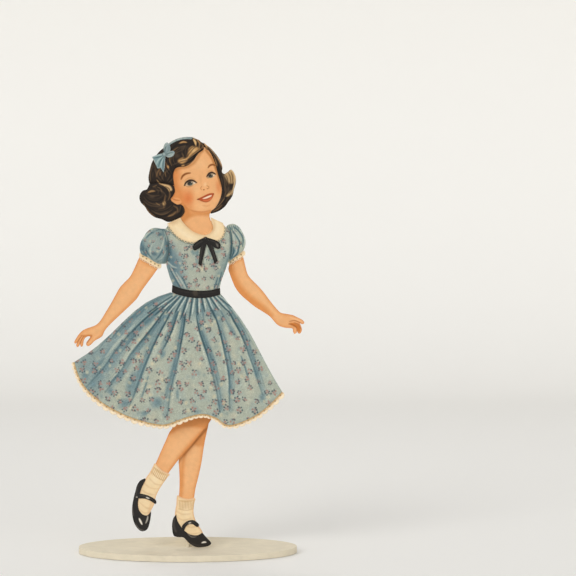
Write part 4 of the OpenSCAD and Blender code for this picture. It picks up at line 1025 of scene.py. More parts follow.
def paint_collar(ink):
    # Painted shade along the edge, under the hair and in bands across the collar, and painted highlights
    # across it
    ink.border(CREAM_SHADE, 1.5, 0.5, 1.2)
    ink.stroke("#D5B083", [(169, 223), (173, 222.6), (178.6, 220.6)], 4.6, 0.6, 3.4)
    ink.stroke("#E6C496", [(180, 220.6), (186, 227), (194, 233), (203, 236)], 2.2, 0.7, 1.8)
    ink.stroke("#E3BE8F", [(212.6, 219), (214.6, 224), (213.6, 230), (209.4, 235.4)], 2.2, 0.7, 1.8)
    ink.stroke("#FBE6C2", [(176, 227), (187, 235.4), (197, 239.4)], 4, 0.65, 3.4)
    ink.stroke("#FBE6C2", [(216.6, 222), (218.6, 228), (215, 236)], 4, 0.5, 3.4)
    ink.stroke("#D9AF7C", [(204.4, 236), (203, 239.6), (200, 242)], 1.4, 0.5, 1.2)


def paint_neck_bow(ink):
    # Painted shade round the edge and in the creases, painted highlights on the loops and tails
    ink.border("#191613", 1, 0.85, 0.9)
    paint_strokes(ink, "#55504A", 0.8, 0.6, 0.9, (
        [(194.4, 246.6), (198.4, 243.4), (202.6, 241.4)], [(209.6, 240.4), (214, 241.6), (218.6, 244)],
        [(202.4, 246), (201.2, 254), (199.8, 262)], [(211.4, 246), (213.6, 253), (215.4, 260)],
    ))
    ink.patch("#8E887C", [(215.8, 243.6), (218, 244.2), (218.6, 246.4), (217.4, 247)], 0.7, 0.9)
    paint_strokes(ink, "#12100D", 0.9, 0.9, 0.8, (
        [(196, 250), (200, 246.4), (203.6, 242.6)], [(208.6, 243), (213, 245.4), (217, 249.4)],
    ), raise_mm=-0.05)


def paint_neck_bow_knot(ink):
    # Painted shade round the knot's edge and a painted highlight on it
    ink.border("#1B1815", 1, 0.8, 0.8)
    ink.blob("#5E5952", (205.4, 238.4), (1.2, 1.2), 0, 0.8, 0.8)


def paint_belt(ink):
    # Painted shade round the edge, a painted sheen by the middle and along the belt, short dark lines
    # pressed in
    ink.border("#171411", 1.3, 0.85, 1)
    ink.patch("#6A5A45", [(193, 291), (195.6, 290.6), (197.6, 291.8), (197.8, 295), (195, 296),
                          (193.4, 294.6)], 0.45, 1.8)
    ink.stroke("#3D3832", [(176, 289.6), (186, 292), (196, 293), (206, 293), (216, 291.6)], 1, 0.5, 1.4)
    paint_strokes(ink, "#12100D", 0.9, 0.6, 0.9, (
        [(190.4, 290), (190, 296)], [(201, 290.6), (201.4, 296.6)], [(184, 288.4), (183.4, 294.6)],
    ), raise_mm=-0.04)


# Sprigs: the rows' distance and how far one strays, as shares of their pitch, and how many have a blotch
SPRIG_ROWS, SPRIG_STRAY, BLOTCHED = 0.86, 0.27, 0.35


def sprigs(ink, low, high, pitch, seed, sizes=(2.4, 3.3)):
    """Small printed sprigs: a smudged rose heart with slate leaves to one side, some with a cream
    blotch beside."""
    chance = np.random.default_rng(seed)
    for row, y in enumerate(np.arange(low[1], high[1], pitch * SPRIG_ROWS)):
        for x in np.arange(low[0] + (row % 2) * pitch / 2, high[0], pitch):
            middle = np.array([x, y]) + chance.uniform(-SPRIG_STRAY, SPRIG_STRAY, 2) * pitch
            reach = chance.uniform(*sizes)
            turn = chance.uniform(0, 360)
            # One dab a row: colour, angle, distance, length, width, opacity
            dabs = [("#929D97", turn, 0.2, 1.1, 0.9, 0.45)]
            if chance.random() < BLOTCHED:
                dabs.append(("#D8CAA6", turn + 180, 1.6, 0.9, 0.7, 0.5))
            dabs += [(ROSE, turn + 115 * k, chance.uniform(0.25, 0.6), 0.48, 0.36, chance.uniform(0.6, 0.9))
                     for k in range(3)]
            dabs += [(SLATE, turn + 90 + 50 * k, chance.uniform(0.5, 1), 0.42, 0.3, chance.uniform(0.65, 1))
                     for k in range(chance.integers(2, 6))]
            for colour, angle, away, long, wide, opacity in dabs:
                angle = math.radians(angle)
                place = middle + reach * away * np.array([math.cos(angle), math.sin(angle)])
                ink.blob(colour, place, (reach * long, reach * wide), chance.uniform(0, 180), opacity, 0.7)


# Bristles are drawn on a coarser curve than a single stroke, since many lie side by side
BRISTLE_PARTS = 4


def bristles(ink, line, reach, spread, colours, count, widths, opacity, chance, raise_mm=0.0):
    """Brush hairs along a line: thin strokes of mixed colours that start and end unevenly and
    spread away from it towards its end."""
    curve = smooth(line, parts=BRISTLE_PARTS)
    along = np.gradient(curve, axis=0)
    across = np.stack([along[:, 1], -along[:, 0]], 1) / np.hypot(*along.T)[:, None]
    fan = np.linspace(0.35, 1, len(curve))[:, None]
    for k in range(count):
        start = int(len(curve) * chance.uniform(0, 0.4))
        end = max(int(len(curve) * chance.uniform(0.6, 1)), start + 2)
        path = (curve + across * fan * reach * chance.uniform(*spread))[start:end:2]
        if len(path) > 1:
            ink.stroke(colours[k % len(colours)], path, chance.uniform(*widths),
                       opacity * chance.uniform(0.6, 1), 0.9, 0.25, raise_mm)


def clouds(ink, low, high, colours, count, radii, opacity, seed):
    """Broad soft patches of slightly different ink."""
    chance = np.random.default_rng(seed)
    for k in range(count):
        place = (chance.uniform(low[0], high[0]), chance.uniform(low[1], high[1]))
        size = chance.uniform(*radii)
        ink.blob(colours[k % len(colours)], place, (size, size * chance.uniform(0.6, 1.3)),
                 chance.uniform(0, 180), opacity, 0.95)


def paint_bodice(ink):
    clouds(ink, (166, 226), (230, 290), ("#BABDAA", "#9AAAA3", "#BFBCA8"), 60, (3, 7), 0.42, 3)
    # Shade round the left side and the armhole
    ink.patch("#66808A", [(166, 243), (171, 249), (176, 256), (181, 262), (180, 272), (178, 285), (173, 286),
                          (169, 274), (165, 262)], 0.9, 8)
    ink.stroke("#5D7880", [(168, 246), (171, 256), (174, 266), (177, 277), (180, 288)], 11, 0.6, 8, 0.7)
    ink.patch("#86999A", [(176, 250), (182, 257), (186, 266), (187, 278), (188, 288), (180, 288),
                          (177, 270)], 0.5, 7)
    ink.stroke("#47636C", [(168.8, 244), (170.4, 252), (168.6, 262)], 2.4, 0.75, 2)
    ink.stroke("#6A8388", [(166, 229), (168, 237), (169.4, 247)], 1.6, 0.7, 1.6)
    # Shade down the right side
    ink.stroke("#7B908F", [(227, 256), (222, 268), (218, 280), (216, 288)], 7, 0.65, 5)
    ink.stroke("#5C7678", [(230.6, 236), (230.4, 250), (227, 262), (222, 276)], 2.2, 0.7, 2)
    # Shadows beside the bow and its tails, and a painted highlight between the tails
    ink.stroke("#6A8589", [(191, 248), (193.6, 253), (197.4, 252.4)], 3.2, 0.7, 2.4)
    ink.stroke("#6F898D", [(198, 250), (197, 258), (196.6, 266)], 2.6, 0.75, 2)
    ink.stroke("#7A9294", [(208.6, 250), (211.4, 259), (213.6, 267), (216, 266)], 2.6, 0.7, 2)
    ink.stroke("#6A8589", [(213, 251), (218, 252), (221, 250)], 2.2, 0.5, 2)
    ink.stroke("#CBD1C6", [(205.8, 246), (205.8, 254), (205, 262)], 1.8, 0.75, 1.4)
    sprigs(ink, (166, 232), (232, 290), 9, 5)
    # Skin that shows inside the collar, with painted shade down one side
    ink.patch(SKIN, [(184, 214), (212, 214), (214.4, 222), (214.6, 229), (211, 236), (203, 238.6),
                     (192, 234), (182, 224)], 1, 0.8)
    ink.stroke("#C27A3F", [(211.6, 219), (213.8, 224), (212.6, 230.6)], 1.8, 0.8, 1.4)
    # Darts from the armhole to the waist, and painted highlights beside them
    paint_strokes(ink, "#45626B", 1.3, 0.8, 1, (
        [(169.6, 268), (174, 276), (179, 286.6)], [(173.6, 275), (177.4, 281), (180.6, 287.6)],
        [(181.4, 276.4), (184.4, 282), (187.6, 289)], [(218, 277), (216, 283), (214, 288.6)],
        [(221.6, 272), (219.6, 281), (217.4, 288)],
    ), raise_mm=-0.04)
    paint_strokes(ink, DRESS_HIGHLIGHT, 1.5, 0.75, 1.2, (
        [(170.6, 267), (176, 277), (182, 287)], [(176, 272.4), (180.6, 279.6), (185.6, 288)],
        [(168, 262), (172, 266), (177, 268)],
    ))
    # Shadow under the scalloped collar
    ink.stroke("#54706F", [(167.2, 226), (171, 231.2), (176, 236.2), (182.4, 240.6), (189.4, 243),
                           (196.6, 244)], 2, 0.8, 1.4, 0.7)
    ink.stroke("#5F7A78", [(211, 241.6), (216.6, 241.8), (221.4, 238.4), (224.2, 233), (225.2, 226)],
               1.7, 0.75, 1.4, 0.7)
    ink.screen(0.045, 7)


# The skirt's deep folds from the waist, the width of each one's shade and the side it falls on
FOLDS = (
    ([(173, 293), (160, 297.4), (144, 306.4), (132.6, 316), (121, 327.5), (112, 338.4)], 4, 1),
    ([(175, 296), (161.6, 305.4), (149, 315.4), (137, 326.5), (126.6, 338), (116, 350.6), (105.5, 366),
      (95, 378), (86.6, 387)], 7, 1),
    ([(178.6, 297), (167, 308.7), (156.6, 322.5), (146.6, 335.4), (138.6, 344.6), (130.6, 355),
      (124, 367), (116, 378), (106, 391.7)], 6.5, 1),
    ([(180.6, 297), (172.8, 308.7), (165, 323.5), (157.2, 338), (150.6, 353), (145, 367), (140, 381),
      (134.6, 395), (129.6, 406)], 7.5, -1),
    ([(184, 298), (179.6, 309), (175.6, 320.6), (171.6, 332), (166, 344), (161, 353)], 4.4, -1),
    ([(187, 297), (185.6, 310.7), (184, 326.5), (181, 344.3), (178.6, 358), (175.4, 372), (171.6, 388),
      (169.4, 403), (168, 416)], 6, -1),
    ([(195.4, 298), (196.8, 314.7), (199.6, 329.5), (204, 343), (209.4, 359), (213.6, 376),
      (217.4, 393), (220.4, 412)], 6.5, 1),
    ([(208.9, 300.8), (214.6, 313.7), (219, 326.5), (222.6, 340.4), (225.2, 353), (227.8, 366),
      (229.6, 379), (229.9, 394), (229.6, 410)], 5.5, 1),
    ([(219.6, 300.8), (227.5, 309), (234, 320.6), (240.4, 332), (245.6, 344), (249.6, 356),
      (254.6, 369), (258, 380), (262.6, 394)], 5.5, 1),
)
# Broad shade that spreads from the folds: middle, radii, turn
SHADES = (
    ((99, 367), (8, 14), 45), ((86, 376), (5, 6), 0), ((109, 353), (5, 11), 42), ((120.6, 376), (5, 12), 38),
    ((132, 383), (7, 18), 18), ((125, 403), (9, 8), 0), ((141, 370), (4, 12), 20), ((158, 402), (10, 9), 0),
    ((175, 370), (4.6, 15), 8), ((146, 413), (8, 4), 10), ((163.4, 354), (4, 7), 25),
    ((128, 330), (5, 13), 46), ((149, 320), (4, 12), 42), ((207, 349), (4.4, 11), -18),
    ((211.4, 362), (4.6, 10), -14), ((229.3, 371), (4.4, 11), -6), ((230.4, 388), (4, 11), 0),
    ((256, 373), (4, 9), -20), ((263, 397), (6, 7), -10), ((198.6, 411.4), (6, 3.6), 0),
    ((220, 404), (4, 10), -8), ((232, 330), (4, 13), -30), ((184, 320), (3, 10), 6),
    ((150, 302), (10, 4), -30), ((94, 384), (4, 5), 30), ((112, 391), (6, 5), 40),
)


# The gathers under the belt, in the grid's pixels: the first, the end of the row and their distance,
# the waist's middle and half width, and the line that they start from
GATHERS_FROM, GATHERS_TO, GATHER_PITCH = 172.4, 222, 4.1
WAIST_MIDDLE, WAIST_HALF, WAIST_LINE = 196, 26, 296


def paint_skirt(ink):
    clouds(ink, (78, 298), (282, 428), ("#BFC2AE", "#9FAEA8", "#C8C2AA", "#A6B4AC"), 320, (3, 9), 0.4, 11)
    # Painted shade over the left part and under the belt
    ink.patch("#7C9295", [(174, 295), (150, 303), (128, 318), (104, 340), (76, 360), (84, 380), (98, 394),
                          (112, 376), (128, 350), (150, 322)], 0.7, 12)
    ink.patch("#6C868B", [(174, 296), (196, 300), (220, 297), (232, 312), (226, 322), (200, 318), (176, 322),
                          (152, 326), (140, 318), (154, 304)], 0.5, 10)
    for middle, radii, turn in SHADES:
        ink.blob("#66828A", middle, radii, turn, 0.78, 0.95)
    clouds(ink, (78, 340), (282, 420), ("#73898D", "#C0C3AE", "#8A9C9D"), 140, (1.6, 4.6), 0.38, 19)
    chance = np.random.default_rng(23)
    # Painted shade beside each fold, dark brush hairs in it, and light ones of painted highlight on the
    # other side
    for line, width, side in FOLDS:
        beside = [(x + side * width * 0.35, y) for x, y in line]
        ink.stroke("#6C868C", beside, width, 0.6, width * 0.8, 0.2, -0.2)
        bristles(ink, line, side * width, (-0.1, 1.1), ("#5C777D", "#7F9698", "#4F6C74", "#8FA29F"), 9,
                 (0.9, 2), 0.6, chance, -0.02)
        bristles(ink, line, -side * width, (0.15, 0.9), ("#C8CCBA", "#B4BFB2", "#BFC3B0"), 4, (1, 2.2), 0.55,
                 chance, 0.03)
    # Painted shade of second folds that start lower and run out in the hem
    for line in (
        [(120.3, 372), (112, 382), (103.5, 392.7)], [(177.6, 380), (177.6, 394), (179, 409)],
        [(240, 352), (247, 372), (252, 392)], [(150, 372), (144, 392), (138, 408)],
        [(214.7, 300.8), (220.6, 311.7), (226, 321.6), (230, 331)], [(165, 316), (154, 330), (144, 348)],
        [(201.3, 300), (203.3, 312.7), (206, 323)], [(191, 298), (191, 310)],
        [(108, 356), (98, 366), (88, 372)], [(166, 297), (150, 305), (136, 317), (122, 332), (110, 345)],
        [(169, 296), (154, 303), (141, 313), (130, 324)], [(120, 326), (108, 338), (96, 352), (86, 360)],
    ):
        bristles(ink, line, 2.4, (-0.6, 0.6), ("#5E7980", "#71898D", "#54717A"), 3, (0.9, 1.7), 0.62, chance,
                 -0.03)
    sprigs(ink, (76, 302), (284, 430), 11.4, 17, (2.9, 3.9))
    # The folds' own dark lines of painted shade, over the print, strongest at the waist
    for line, width, side in FOLDS:
        ink.stroke("#44616A", line, 1.7, 0.6, 1.4, 0.3, -0.1)
        bristles(ink, line[:6], 1.6, (-0.6, 0.6), ("#2F4B53", "#3D5A62"), 3, (0.8, 1.4), 0.75, chance, -0.03)
    # Painted shade close under the left edge, and painted highlights on both edges, with brush hairs of
    # shade and light by the right one
    bristles(ink, [(171, 293), (156, 298.6), (144, 305), (132, 314.6), (120, 326), (108, 339)], 3,
             (-0.3, 0.9), ("#4E6B74", "#5F7B82", "#7F9698"), 6, (0.9, 1.8), 0.65, chance)
    ink.stroke("#8EA3A0", [(171, 292), (156, 297.6), (144, 304), (132, 311), (118, 325), (104, 339.4)],
               1.1, 0.65, 1.1)
    ink.stroke("#A9B8B0", [(222, 297), (232, 308.6), (242, 321.6), (252, 337), (264, 359), (279, 387)],
               1.6, 0.75, 1.4)
    bristles(ink, [(221, 299.4), (231, 311), (241, 325), (250, 340), (260, 358)], 2.4, (-0.5, 0.6),
             ("#5F7B80", "#8DA19D"), 5, (0.8, 1.5), 0.6, chance)
    # Gathers under the belt, fanning out from the waist's middle: stripes of painted shade and painted
    # highlight
    for x in np.arange(GATHERS_FROM, GATHERS_TO, GATHER_PITCH):
        share = (x - WAIST_MIDDLE) / WAIST_HALF
        for shift, colour, width, long, lift in (
            (0, "#365159", 1.8, chance.uniform(13, 26), -0.08),
            (2, "#CED5C9", 1.5, chance.uniform(12, 20), 0.06),
            (1, "#5D787E", 0.9, chance.uniform(5, 11), -0.04),
        ):
            line = [(x + shift + 1.15 * share * long * t,
                     WAIST_LINE + long * t * (1 - 0.3 * abs(share))) for t in (0, 0.35, 0.7, 1)]
            ink.stroke(colour, line, width, 0.85, 0.9, 0.35, lift)
    # Shade of the hem's turned edge
    ink.border("#7C8C8A", 1.2, 0.4, 1.2)
    ink.screen(0.055, 29)


def paint_hem_lace(ink):
    ink.border("#FBE7C8", 1.4, 0.9, 0.9)
    # Painted shade along the hem
    ink.stroke("#A97F50", [(75, 362), (79, 374.6), (87, 388), (103, 402), (125, 414), (147, 421.6),
                           (166, 424.4), (186, 417.8), (203, 414.2), (216.5, 418), (229, 425.2),
                           (248, 419.4), (265, 409), (282.4, 392)], 1.6, 0.5, 0.9, 1)
    # Painted shade on the underside, which shows where the hem lifts over the knee
    ink.patch("#B78A55", [(184, 425), (190, 419.4), (198, 416.4), (207, 416), (214, 418), (222, 424),
                          (214, 423), (205, 420.6), (196, 421), (190, 424.6)], 0.7, 1.6)


def paint_lace_cuff(ink):
    ink.border("#FAE6C9", 1.1, 0.9, 0.8)
    # Openings of the lace, dark in the print
    for place in (
        (142.4, 256.4), (146, 258.6), (150.4, 261.6), (154.4, 263.8), (158, 265.6), (241, 254.6),
        (236.8, 257.8), (233.2, 260), (230.4, 262),
    ):
        ink.blob("#7A6848", place, (1.2, 0.95), 30, 0.85, 0.7)
    ink.border("#C9A676", 0.5, 0.4, 0.5)


def shade_limb(ink):
    ink.border("#DF8D4F", 3, 0.6, 3)
    ink.border("#C8743A", 0.8, 0.5, 0.8)


def paint_right_arm(ink):
    # A painted highlight down the arm, painted shade along its edges, under the cuff and down its lower side
    ink.stroke(SKIN_HIGHLIGHT, [(150, 268), (136, 284), (120, 303), (104, 322), (93, 331)], 9, 0.55, 7)
    shade_limb(ink)
    ink.stroke("#DF9350", [(140, 259), (148, 263), (158, 269)], 5, 0.7, 4)
    ink.stroke("#E39A5C", [(152, 272), (140, 292), (126, 308), (110, 322)], 3.4, 0.5, 3)
    # Hand: the palm's shade, the lines between the fingers, a painted highlight
    ink.stroke("#C4763A", [(80, 335.6), (85, 336.2), (91, 335.4)], 2, 0.7, 1.6)
    paint_strokes(ink, SKIN_LINE, 0.9, 0.85, 0.8, (
        [(81, 336), (78.4, 339.6), (76.2, 343.4)], [(83, 336.4), (80.6, 340.4), (79, 345)],
        [(91.4, 335.8), (88.4, 339.6), (86.6, 343)],
    ), raise_mm=-0.04)
    ink.stroke("#F6BE8A", [(98, 334), (92, 340), (88, 344)], 2, 0.7, 1.6)


def paint_left_arm(ink):
    # A painted highlight down the arm, painted shade along its edges, wide down its lower side and under the
    # cuff
    ink.stroke(SKIN_HIGHLIGHT, [(240, 262), (246, 276), (256, 291), (268, 305), (280, 317)], 9, 0.6, 7)
    shade_limb(ink)
    ink.stroke("#DC8A47", [(230, 262), (232.6, 275), (238, 287), (248, 298), (260, 306), (271, 315)],
               7, 0.75, 5)
    ink.stroke("#DF9350", [(230, 263), (236, 261), (243, 258)], 3.6, 0.6, 3)
    # Hand: the curled fingers' shade and lines, and painted highlights on them
    ink.patch("#C8722E", [(289, 323.6), (294, 323), (299, 326), (300.4, 331), (298.4, 332), (296.8, 328.4),
                          (293, 326.4)], 0.85, 1.2)
    paint_strokes(ink, SKIN_LINE, 0.9, 0.85, 0.8, (
        [(289.4, 321.6), (295, 320.8), (300.6, 323)],
        [(288.4, 324.2), (293, 325), (296.6, 328), (297.2, 333)],
        [(294, 322.6), (298.4, 324.6), (300.8, 329)],
    ), raise_mm=-0.04)
    ink.stroke("#F3B27C", [(295, 328), (295.2, 333.6)], 2, 0.8, 1.2)
    ink.stroke("#F8C696", [(290, 317.2), (297, 319.6), (303, 322.6)], 1.6, 0.7, 1.2)


def paint_right_sleeve(ink):
    clouds(ink, (140, 228), (170, 262), ("#A9B3A6", "#7F9799", "#B5B7A8"), 26, (2.4, 5.5), 0.55, 31)
    # Painted shade over the puff and down its sides, a painted highlight in its middle
    ink.blob("#70888C", (155, 246), (20, 22), 0, 0.62, 0.3)
    ink.patch("#A6B0A6", [(146, 236), (153, 233), (160, 240), (163, 248), (158, 253), (151, 247),
                          (146, 243)], 0.6, 5)
    ink.patch("#5F7F89", [(138, 236), (142, 240), (144, 249), (149, 258), (156, 264), (148, 262),
                          (139, 250)], 0.75, 4)
    ink.patch("#587680", [(163, 229), (167, 235), (170, 247), (169, 258), (162, 264), (165, 252),
                          (164, 240)], 0.7, 3)
    sprigs(ink, (142, 232), (168, 260), 8.4, 37, (1.9, 2.7))
    # Folds pressed in, with painted shade in them
    paint_strokes(ink, "#4A6871", 1.5, 0.8, 1.1, (
        [(156, 230.4), (161, 229), (166, 233), (168.4, 240)],
        [(141.4, 241), (141.6, 248), (145, 254), (150, 259.4)],
        [(145.6, 248), (147.6, 253.4), (151.6, 258.4)],
        [(167.3, 244), (166.5, 250), (162.9, 256.6), (157.4, 261.6)],
        [(169, 240), (170.3, 247), (169.4, 256), (166, 262)], [(146, 238), (149.6, 234), (154, 231.6)],
        [(162.4, 249), (160, 254.6), (155.6, 259.4)],
    ), raise_mm=-0.14)
    # Blots of painted shade
    for place, radii, turn in (
        ((160, 234.6), (3.8, 2.6), -8), ((154, 253.8), (4, 3), 20), ((143, 248), (2.2, 5), -8),
        ((164, 231), (3, 1.6), 30),
    ):
        ink.blob("#526F79", place, radii, turn, 0.8, 0.85)
    # Raised ridges with painted highlights
    paint_strokes(ink, "#C3CABC", 1.5, 0.7, 1.2, (
        [(163.6, 230.6), (166, 236.6), (167, 241)], [(164.3, 236.3), (162.6, 244), (159.4, 251.6)],
        [(142.4, 240), (146, 234.8), (151, 231.4)], [(150.4, 255), (150, 249), (152.6, 243.6)],
        [(158.4, 260.4), (163, 256.4), (166, 250.6)], [(147, 255.4), (150.6, 260)],
    ), raise_mm=0.08)
    ink.screen(0.045, 33)


def paint_left_sleeve(ink):
    clouds(ink, (224, 224), (246, 262), ("#AFB9AD", "#8AA1A2", "#B8BBAE"), 18, (2, 5), 0.5, 41)
    # Painted shade at the bottom and down the side
    ink.patch("#5F7F8A", [(229, 245), (233, 248), (237, 250), (237.6, 256), (230, 260), (227.6, 254)],
              0.75, 3)
    ink.patch("#8DA2A1", [(226, 228), (231, 234), (233, 246), (229, 256), (226, 244)], 0.6, 3)
    sprigs(ink, (228, 234), (246, 254), 8.4, 43, (1.8, 2.5))
    ink.blob("#B08F88", (235.6, 242.4), (2, 3), 0, 0.65, 0.9)
    # Folds pressed in, with painted shade in them
    paint_strokes(ink, "#3F606A", 1.4, 0.85, 1.1, (
        [(229.6, 227.4), (231.2, 236), (231.4, 248), (229.6, 259)],
        [(230.4, 227.6), (235.4, 234.4), (239.2, 241.4), (239.4, 248)],
        [(233.4, 226.4), (239.6, 232), (243, 239), (242.4, 246.4)], [(238.4, 246), (237.8, 252), (234, 257)],
        [(233.6, 247), (233.4, 253), (231, 258)],
    ), raise_mm=-0.14)
    # Raised ridges with painted highlights
    paint_strokes(ink, "#C3CCC0", 1.4, 0.75, 1.1, (
        [(232, 228.4), (236.6, 234), (239.6, 239.4)],
        [(236, 226.6), (241.4, 231.4), (244.6, 238.6), (244, 246)], [(232.8, 233), (234, 240), (233.4, 246)],
        [(236.6, 247), (236, 252), (233, 256)],
    ), raise_mm=0.08)
    # Gathers along the sleeve's top, with painted shade in them
    gathers = [[(x, 224.8 + abs(x - 233) * 0.12), (x + 1.6, 229.6)] for x in range(227, 241, 2)]
    paint_strokes(ink, "#4A6971", 0.9, 0.75, 0.8, gathers, raise_mm=-0.08)
    ink.screen(0.045, 47)


def paint_right_leg(ink):
    # A painted highlight down the leg and painted shade along its edges
    ink.stroke(SKIN_HIGHLIGHT, [(190, 432), (178, 446), (168, 462)], 12, 0.5, 9)
    shade_limb(ink)
    # Shade of the hem, and down the leg's far edge
    ink.patch("#D68443", [(150, 395), (220, 395), (214, 424), (205, 428.6), (196, 427.6), (186, 427.4),
                          (178, 429.6), (171, 434), (166, 430)], 0.6, 3.4)
    ink.stroke("#DC8B4B", [(206, 429), (194, 442), (182, 456), (171, 471)], 5.5, 0.7, 4.4)
    ink.stroke("#8A481E", [(209, 427), (200, 436), (190, 448), (180, 459), (172, 469)], 1.1, 0.7, 1)


def paint_left_leg(ink):
    # A painted highlight down the leg, painted shade along its edges, under the hem and down its side
    ink.stroke(SKIN_HIGHLIGHT, [(196, 448), (191, 466), (186, 490)], 9, 0.55, 7)
    shade_limb(ink)
    ink.patch("#D68746", [(190, 420), (212, 420), (208, 436), (205, 446), (198, 447), (192, 446), (184, 456),
                          (180, 452)], 0.6, 3.4)
    ink.stroke("#D98848", [(184, 456), (182, 470), (181.6, 486), (181, 498)], 3.6, 0.6, 3)
    ink.stroke("#A9602C", [(207, 429), (198, 439), (188, 450.6), (178, 462)], 1.4, 0.5, 1.4)


def ribs(ink, start, end, across, count, colour, width):
    """Knitted ribs: short lines along across, from start to end."""
    for k in range(count):
        share = (k + 0.5) / count
        x, y = start[0] + (end[0] - start[0]) * share, start[1] + (end[1] - start[1]) * share
        ink.stroke(colour, [(x, y), (x + across[0], y + across[1])], width, 0.6, 0.6, 0.6, -0.05)


def paint_right_sock(ink):
    # Painted shade round the edge, under the cuff and in the folds, a painted highlight, and knitted ribs at
    # the cuff
    ink.border("#E3B083", 2, 0.7, 1.8)
    ink.blob("#FAE4BE", (155, 479), (6, 10), 30, 0.7, 0.95)
    ribs(ink, (153.6, 467), (168, 475.6), (-3.4, 7), 9, "#BE9465", 0.8)
    ink.stroke("#B98D5E", [(151, 471.6), (157, 477.6), (164, 481)], 0.9, 0.5, 0.9)
    ink.stroke("#C99B69", [(154, 467.6), (160.4, 473), (168, 475.4)], 1.6, 0.55, 1.4)
    paint_strokes(ink, "#D3AD7E", 1.3, 0.45, 1.5, (
        [(143.6, 483), (150, 488), (158, 489)], [(141.6, 490), (147, 493.6), (154, 495)],
        [(149, 478), (155, 484), (161, 485)], [(140, 503), (146, 508), (151, 508.6)],
        [(139, 509), (144, 513), (149, 512.6)],
    ), raise_mm=-0.08)
    ink.stroke("#E2B98A", [(152, 500), (150.6, 506), (148, 513)], 2.6, 0.6, 2)


def paint_left_sock(ink):
    # Painted shade round the edge, under the cuff and in the folds, a painted highlight, and knitted ribs at
    # the cuff
    ink.border("#E3B083", 2, 0.7, 1.8)
    ink.blob("#FAE4BE", (186, 512), (5, 10), 0, 0.7, 0.95)
    ribs(ink, (178.4, 501.6), (194, 501.6), (-0.4, 8), 10, "#BE9465", 0.8)
    ink.stroke("#B98D5E", [(178, 509.6), (186, 511), (193.4, 509.6)], 0.9, 0.45, 0.9)
    ink.stroke("#C99B69", [(178.4, 501), (186, 502), (194.4, 500.6)], 1.6, 0.55, 1.4)
    paint_strokes(ink, "#D3AD7E", 1.3, 0.45, 1.5, (
        [(176, 512), (182, 515), (190, 514.6)], [(177, 518), (183, 521), (191, 519)],
        [(184, 526), (190, 528), (197, 527)], [(184, 533), (191, 535), (199, 533.6)],
    ), raise_mm=-0.08)


def paint_right_shoe(ink):
    # Painted reflections and glints on the varnished black, and a darker edge
    ink.border("#171412", 1.2, 0.8, 1)
    ink.stroke("#7A746A", [(135.6, 482), (133, 491), (131.6, 503), (133.4, 516)], 1.4, 0.75, 1.4)
    ink.stroke("#4C4842", [(138.4, 482), (136.4, 490), (136, 497)], 2.2, 0.6, 2)
    ink.stroke(GLINT, [(139, 518.4), (140.4, 521.4), (142, 524.6)], 2, 1, 0.8)
    ink.stroke("#C7C0B3", [(147.8, 516), (147.2, 519.6), (145.6, 523.4)], 1.6, 0.9, 0.9)
    ink.stroke("#9B958A", [(135.4, 524), (139, 529), (143.6, 530.6)], 0.9, 0.7, 0.9)
    ink.blob("#B9B2A4", (136.8, 497.2), (1.7, 1), 0, 0.9, 0.7)


def paint_left_shoe(ink):
    # Painted reflections and glints on the varnished black, and a darker edge
    ink.border("#171412", 1.2, 0.8, 1)
    ink.stroke("#56524B", [(174, 519), (173.6, 527), (176, 533)], 2, 0.6, 1.8)
    ink.stroke(GLINT, [(201.4, 543.6), (203.8, 542.9), (206, 543)], 1.7, 1, 0.8)
    ink.stroke("#B4ADA0", [(205, 536.8), (208.6, 539.8), (211, 542.4)], 1.2, 0.85, 0.9)
    ink.stroke("#7F796F", [(187.4, 534.4), (191.4, 537.6), (196, 537.4)], 1.2, 0.85, 0.9)
    ink.stroke("#4A4640", [(184, 541), (194, 545.6), (204, 547)], 1.4, 0.6, 1.3)


def paint_right_strap(ink):
    # A painted glint and a painted reflection on the strap
    ink.stroke(GLINT, [(146, 497.4), (149.4, 498.6)], 1.3, 0.95, 0.7)
    ink.stroke("#6A655C", [(140, 495.4), (146, 496.4), (152, 499.4)], 0.8, 0.6, 0.8)


def paint_left_strap(ink):
    # A painted glint and a painted reflection on the strap
    ink.stroke(GLINT, [(188.2, 523.8), (190.8, 523)], 1.3, 0.95, 0.7)
    ink.stroke("#6A655C", [(184.6, 525.6), (189, 523), (194, 522.6)], 0.8, 0.6, 0.8)


# Materials of this doll

# Matt offset print: no gloss, pale fibres along a worn edge, none to speak of on the dark hair
skin = printed_paper("matt skin print paper", 0.72, wear=0.2)
hair = printed_paper("matt hair print paper", 0.62, tooth=0.01, wear=0.015)
dress = printed_paper("matt sprig print paper", 0.75, wear=0.4)
# Rougher, softer paper, for the lace, the collar and the socks
lace = printed_paper("soft cream lace paper", 0.85, tooth=0.02)
# A satin light on the ribbon and the black pieces, a sharper one on the varnished shoes
ribbon = printed_paper("satin blue ribbon paper", 0.5, coat=0.12, tooth=0.006)
black = printed_paper("satin black paper", 0.5, coat=0.08, tooth=0.006, mottle=0.2, wear=0.03)
patent = printed_paper("varnished black shoe paper", 0.4, coat=0.3, tooth=0.004, mottle=0.2, wear=0.03)
# Boards: bare pulp on the backs, the washers and the stand, whiter paper on the tabs
PULP, PULP_FLECK = "#CDBFA4", "#7E6A4C"
board = greyboard("uncoated greyboard", PULP, PULP_FLECK)
doll_board = greyboard("printed doll board", PULP, PULP_FLECK)
UNDER_HAIR_PX = 212
print_front(doll_board, from_px(0, UNDER_HAIR_PX)[1], "#2A211B", "#E0A06A")
stand_card = greyboard("cream stand card", "#E6DBC3", "#B09A70")
tab_paper = greyboard("white tab paper", "#EFE8DA", "#CDBFA0", 0.35)
brass = stamped_brass("stamped brass")

# Straps

# A strap ends just before the crease, so that its tab turns clear of it
CREASE_GAP = 0.04 * MM


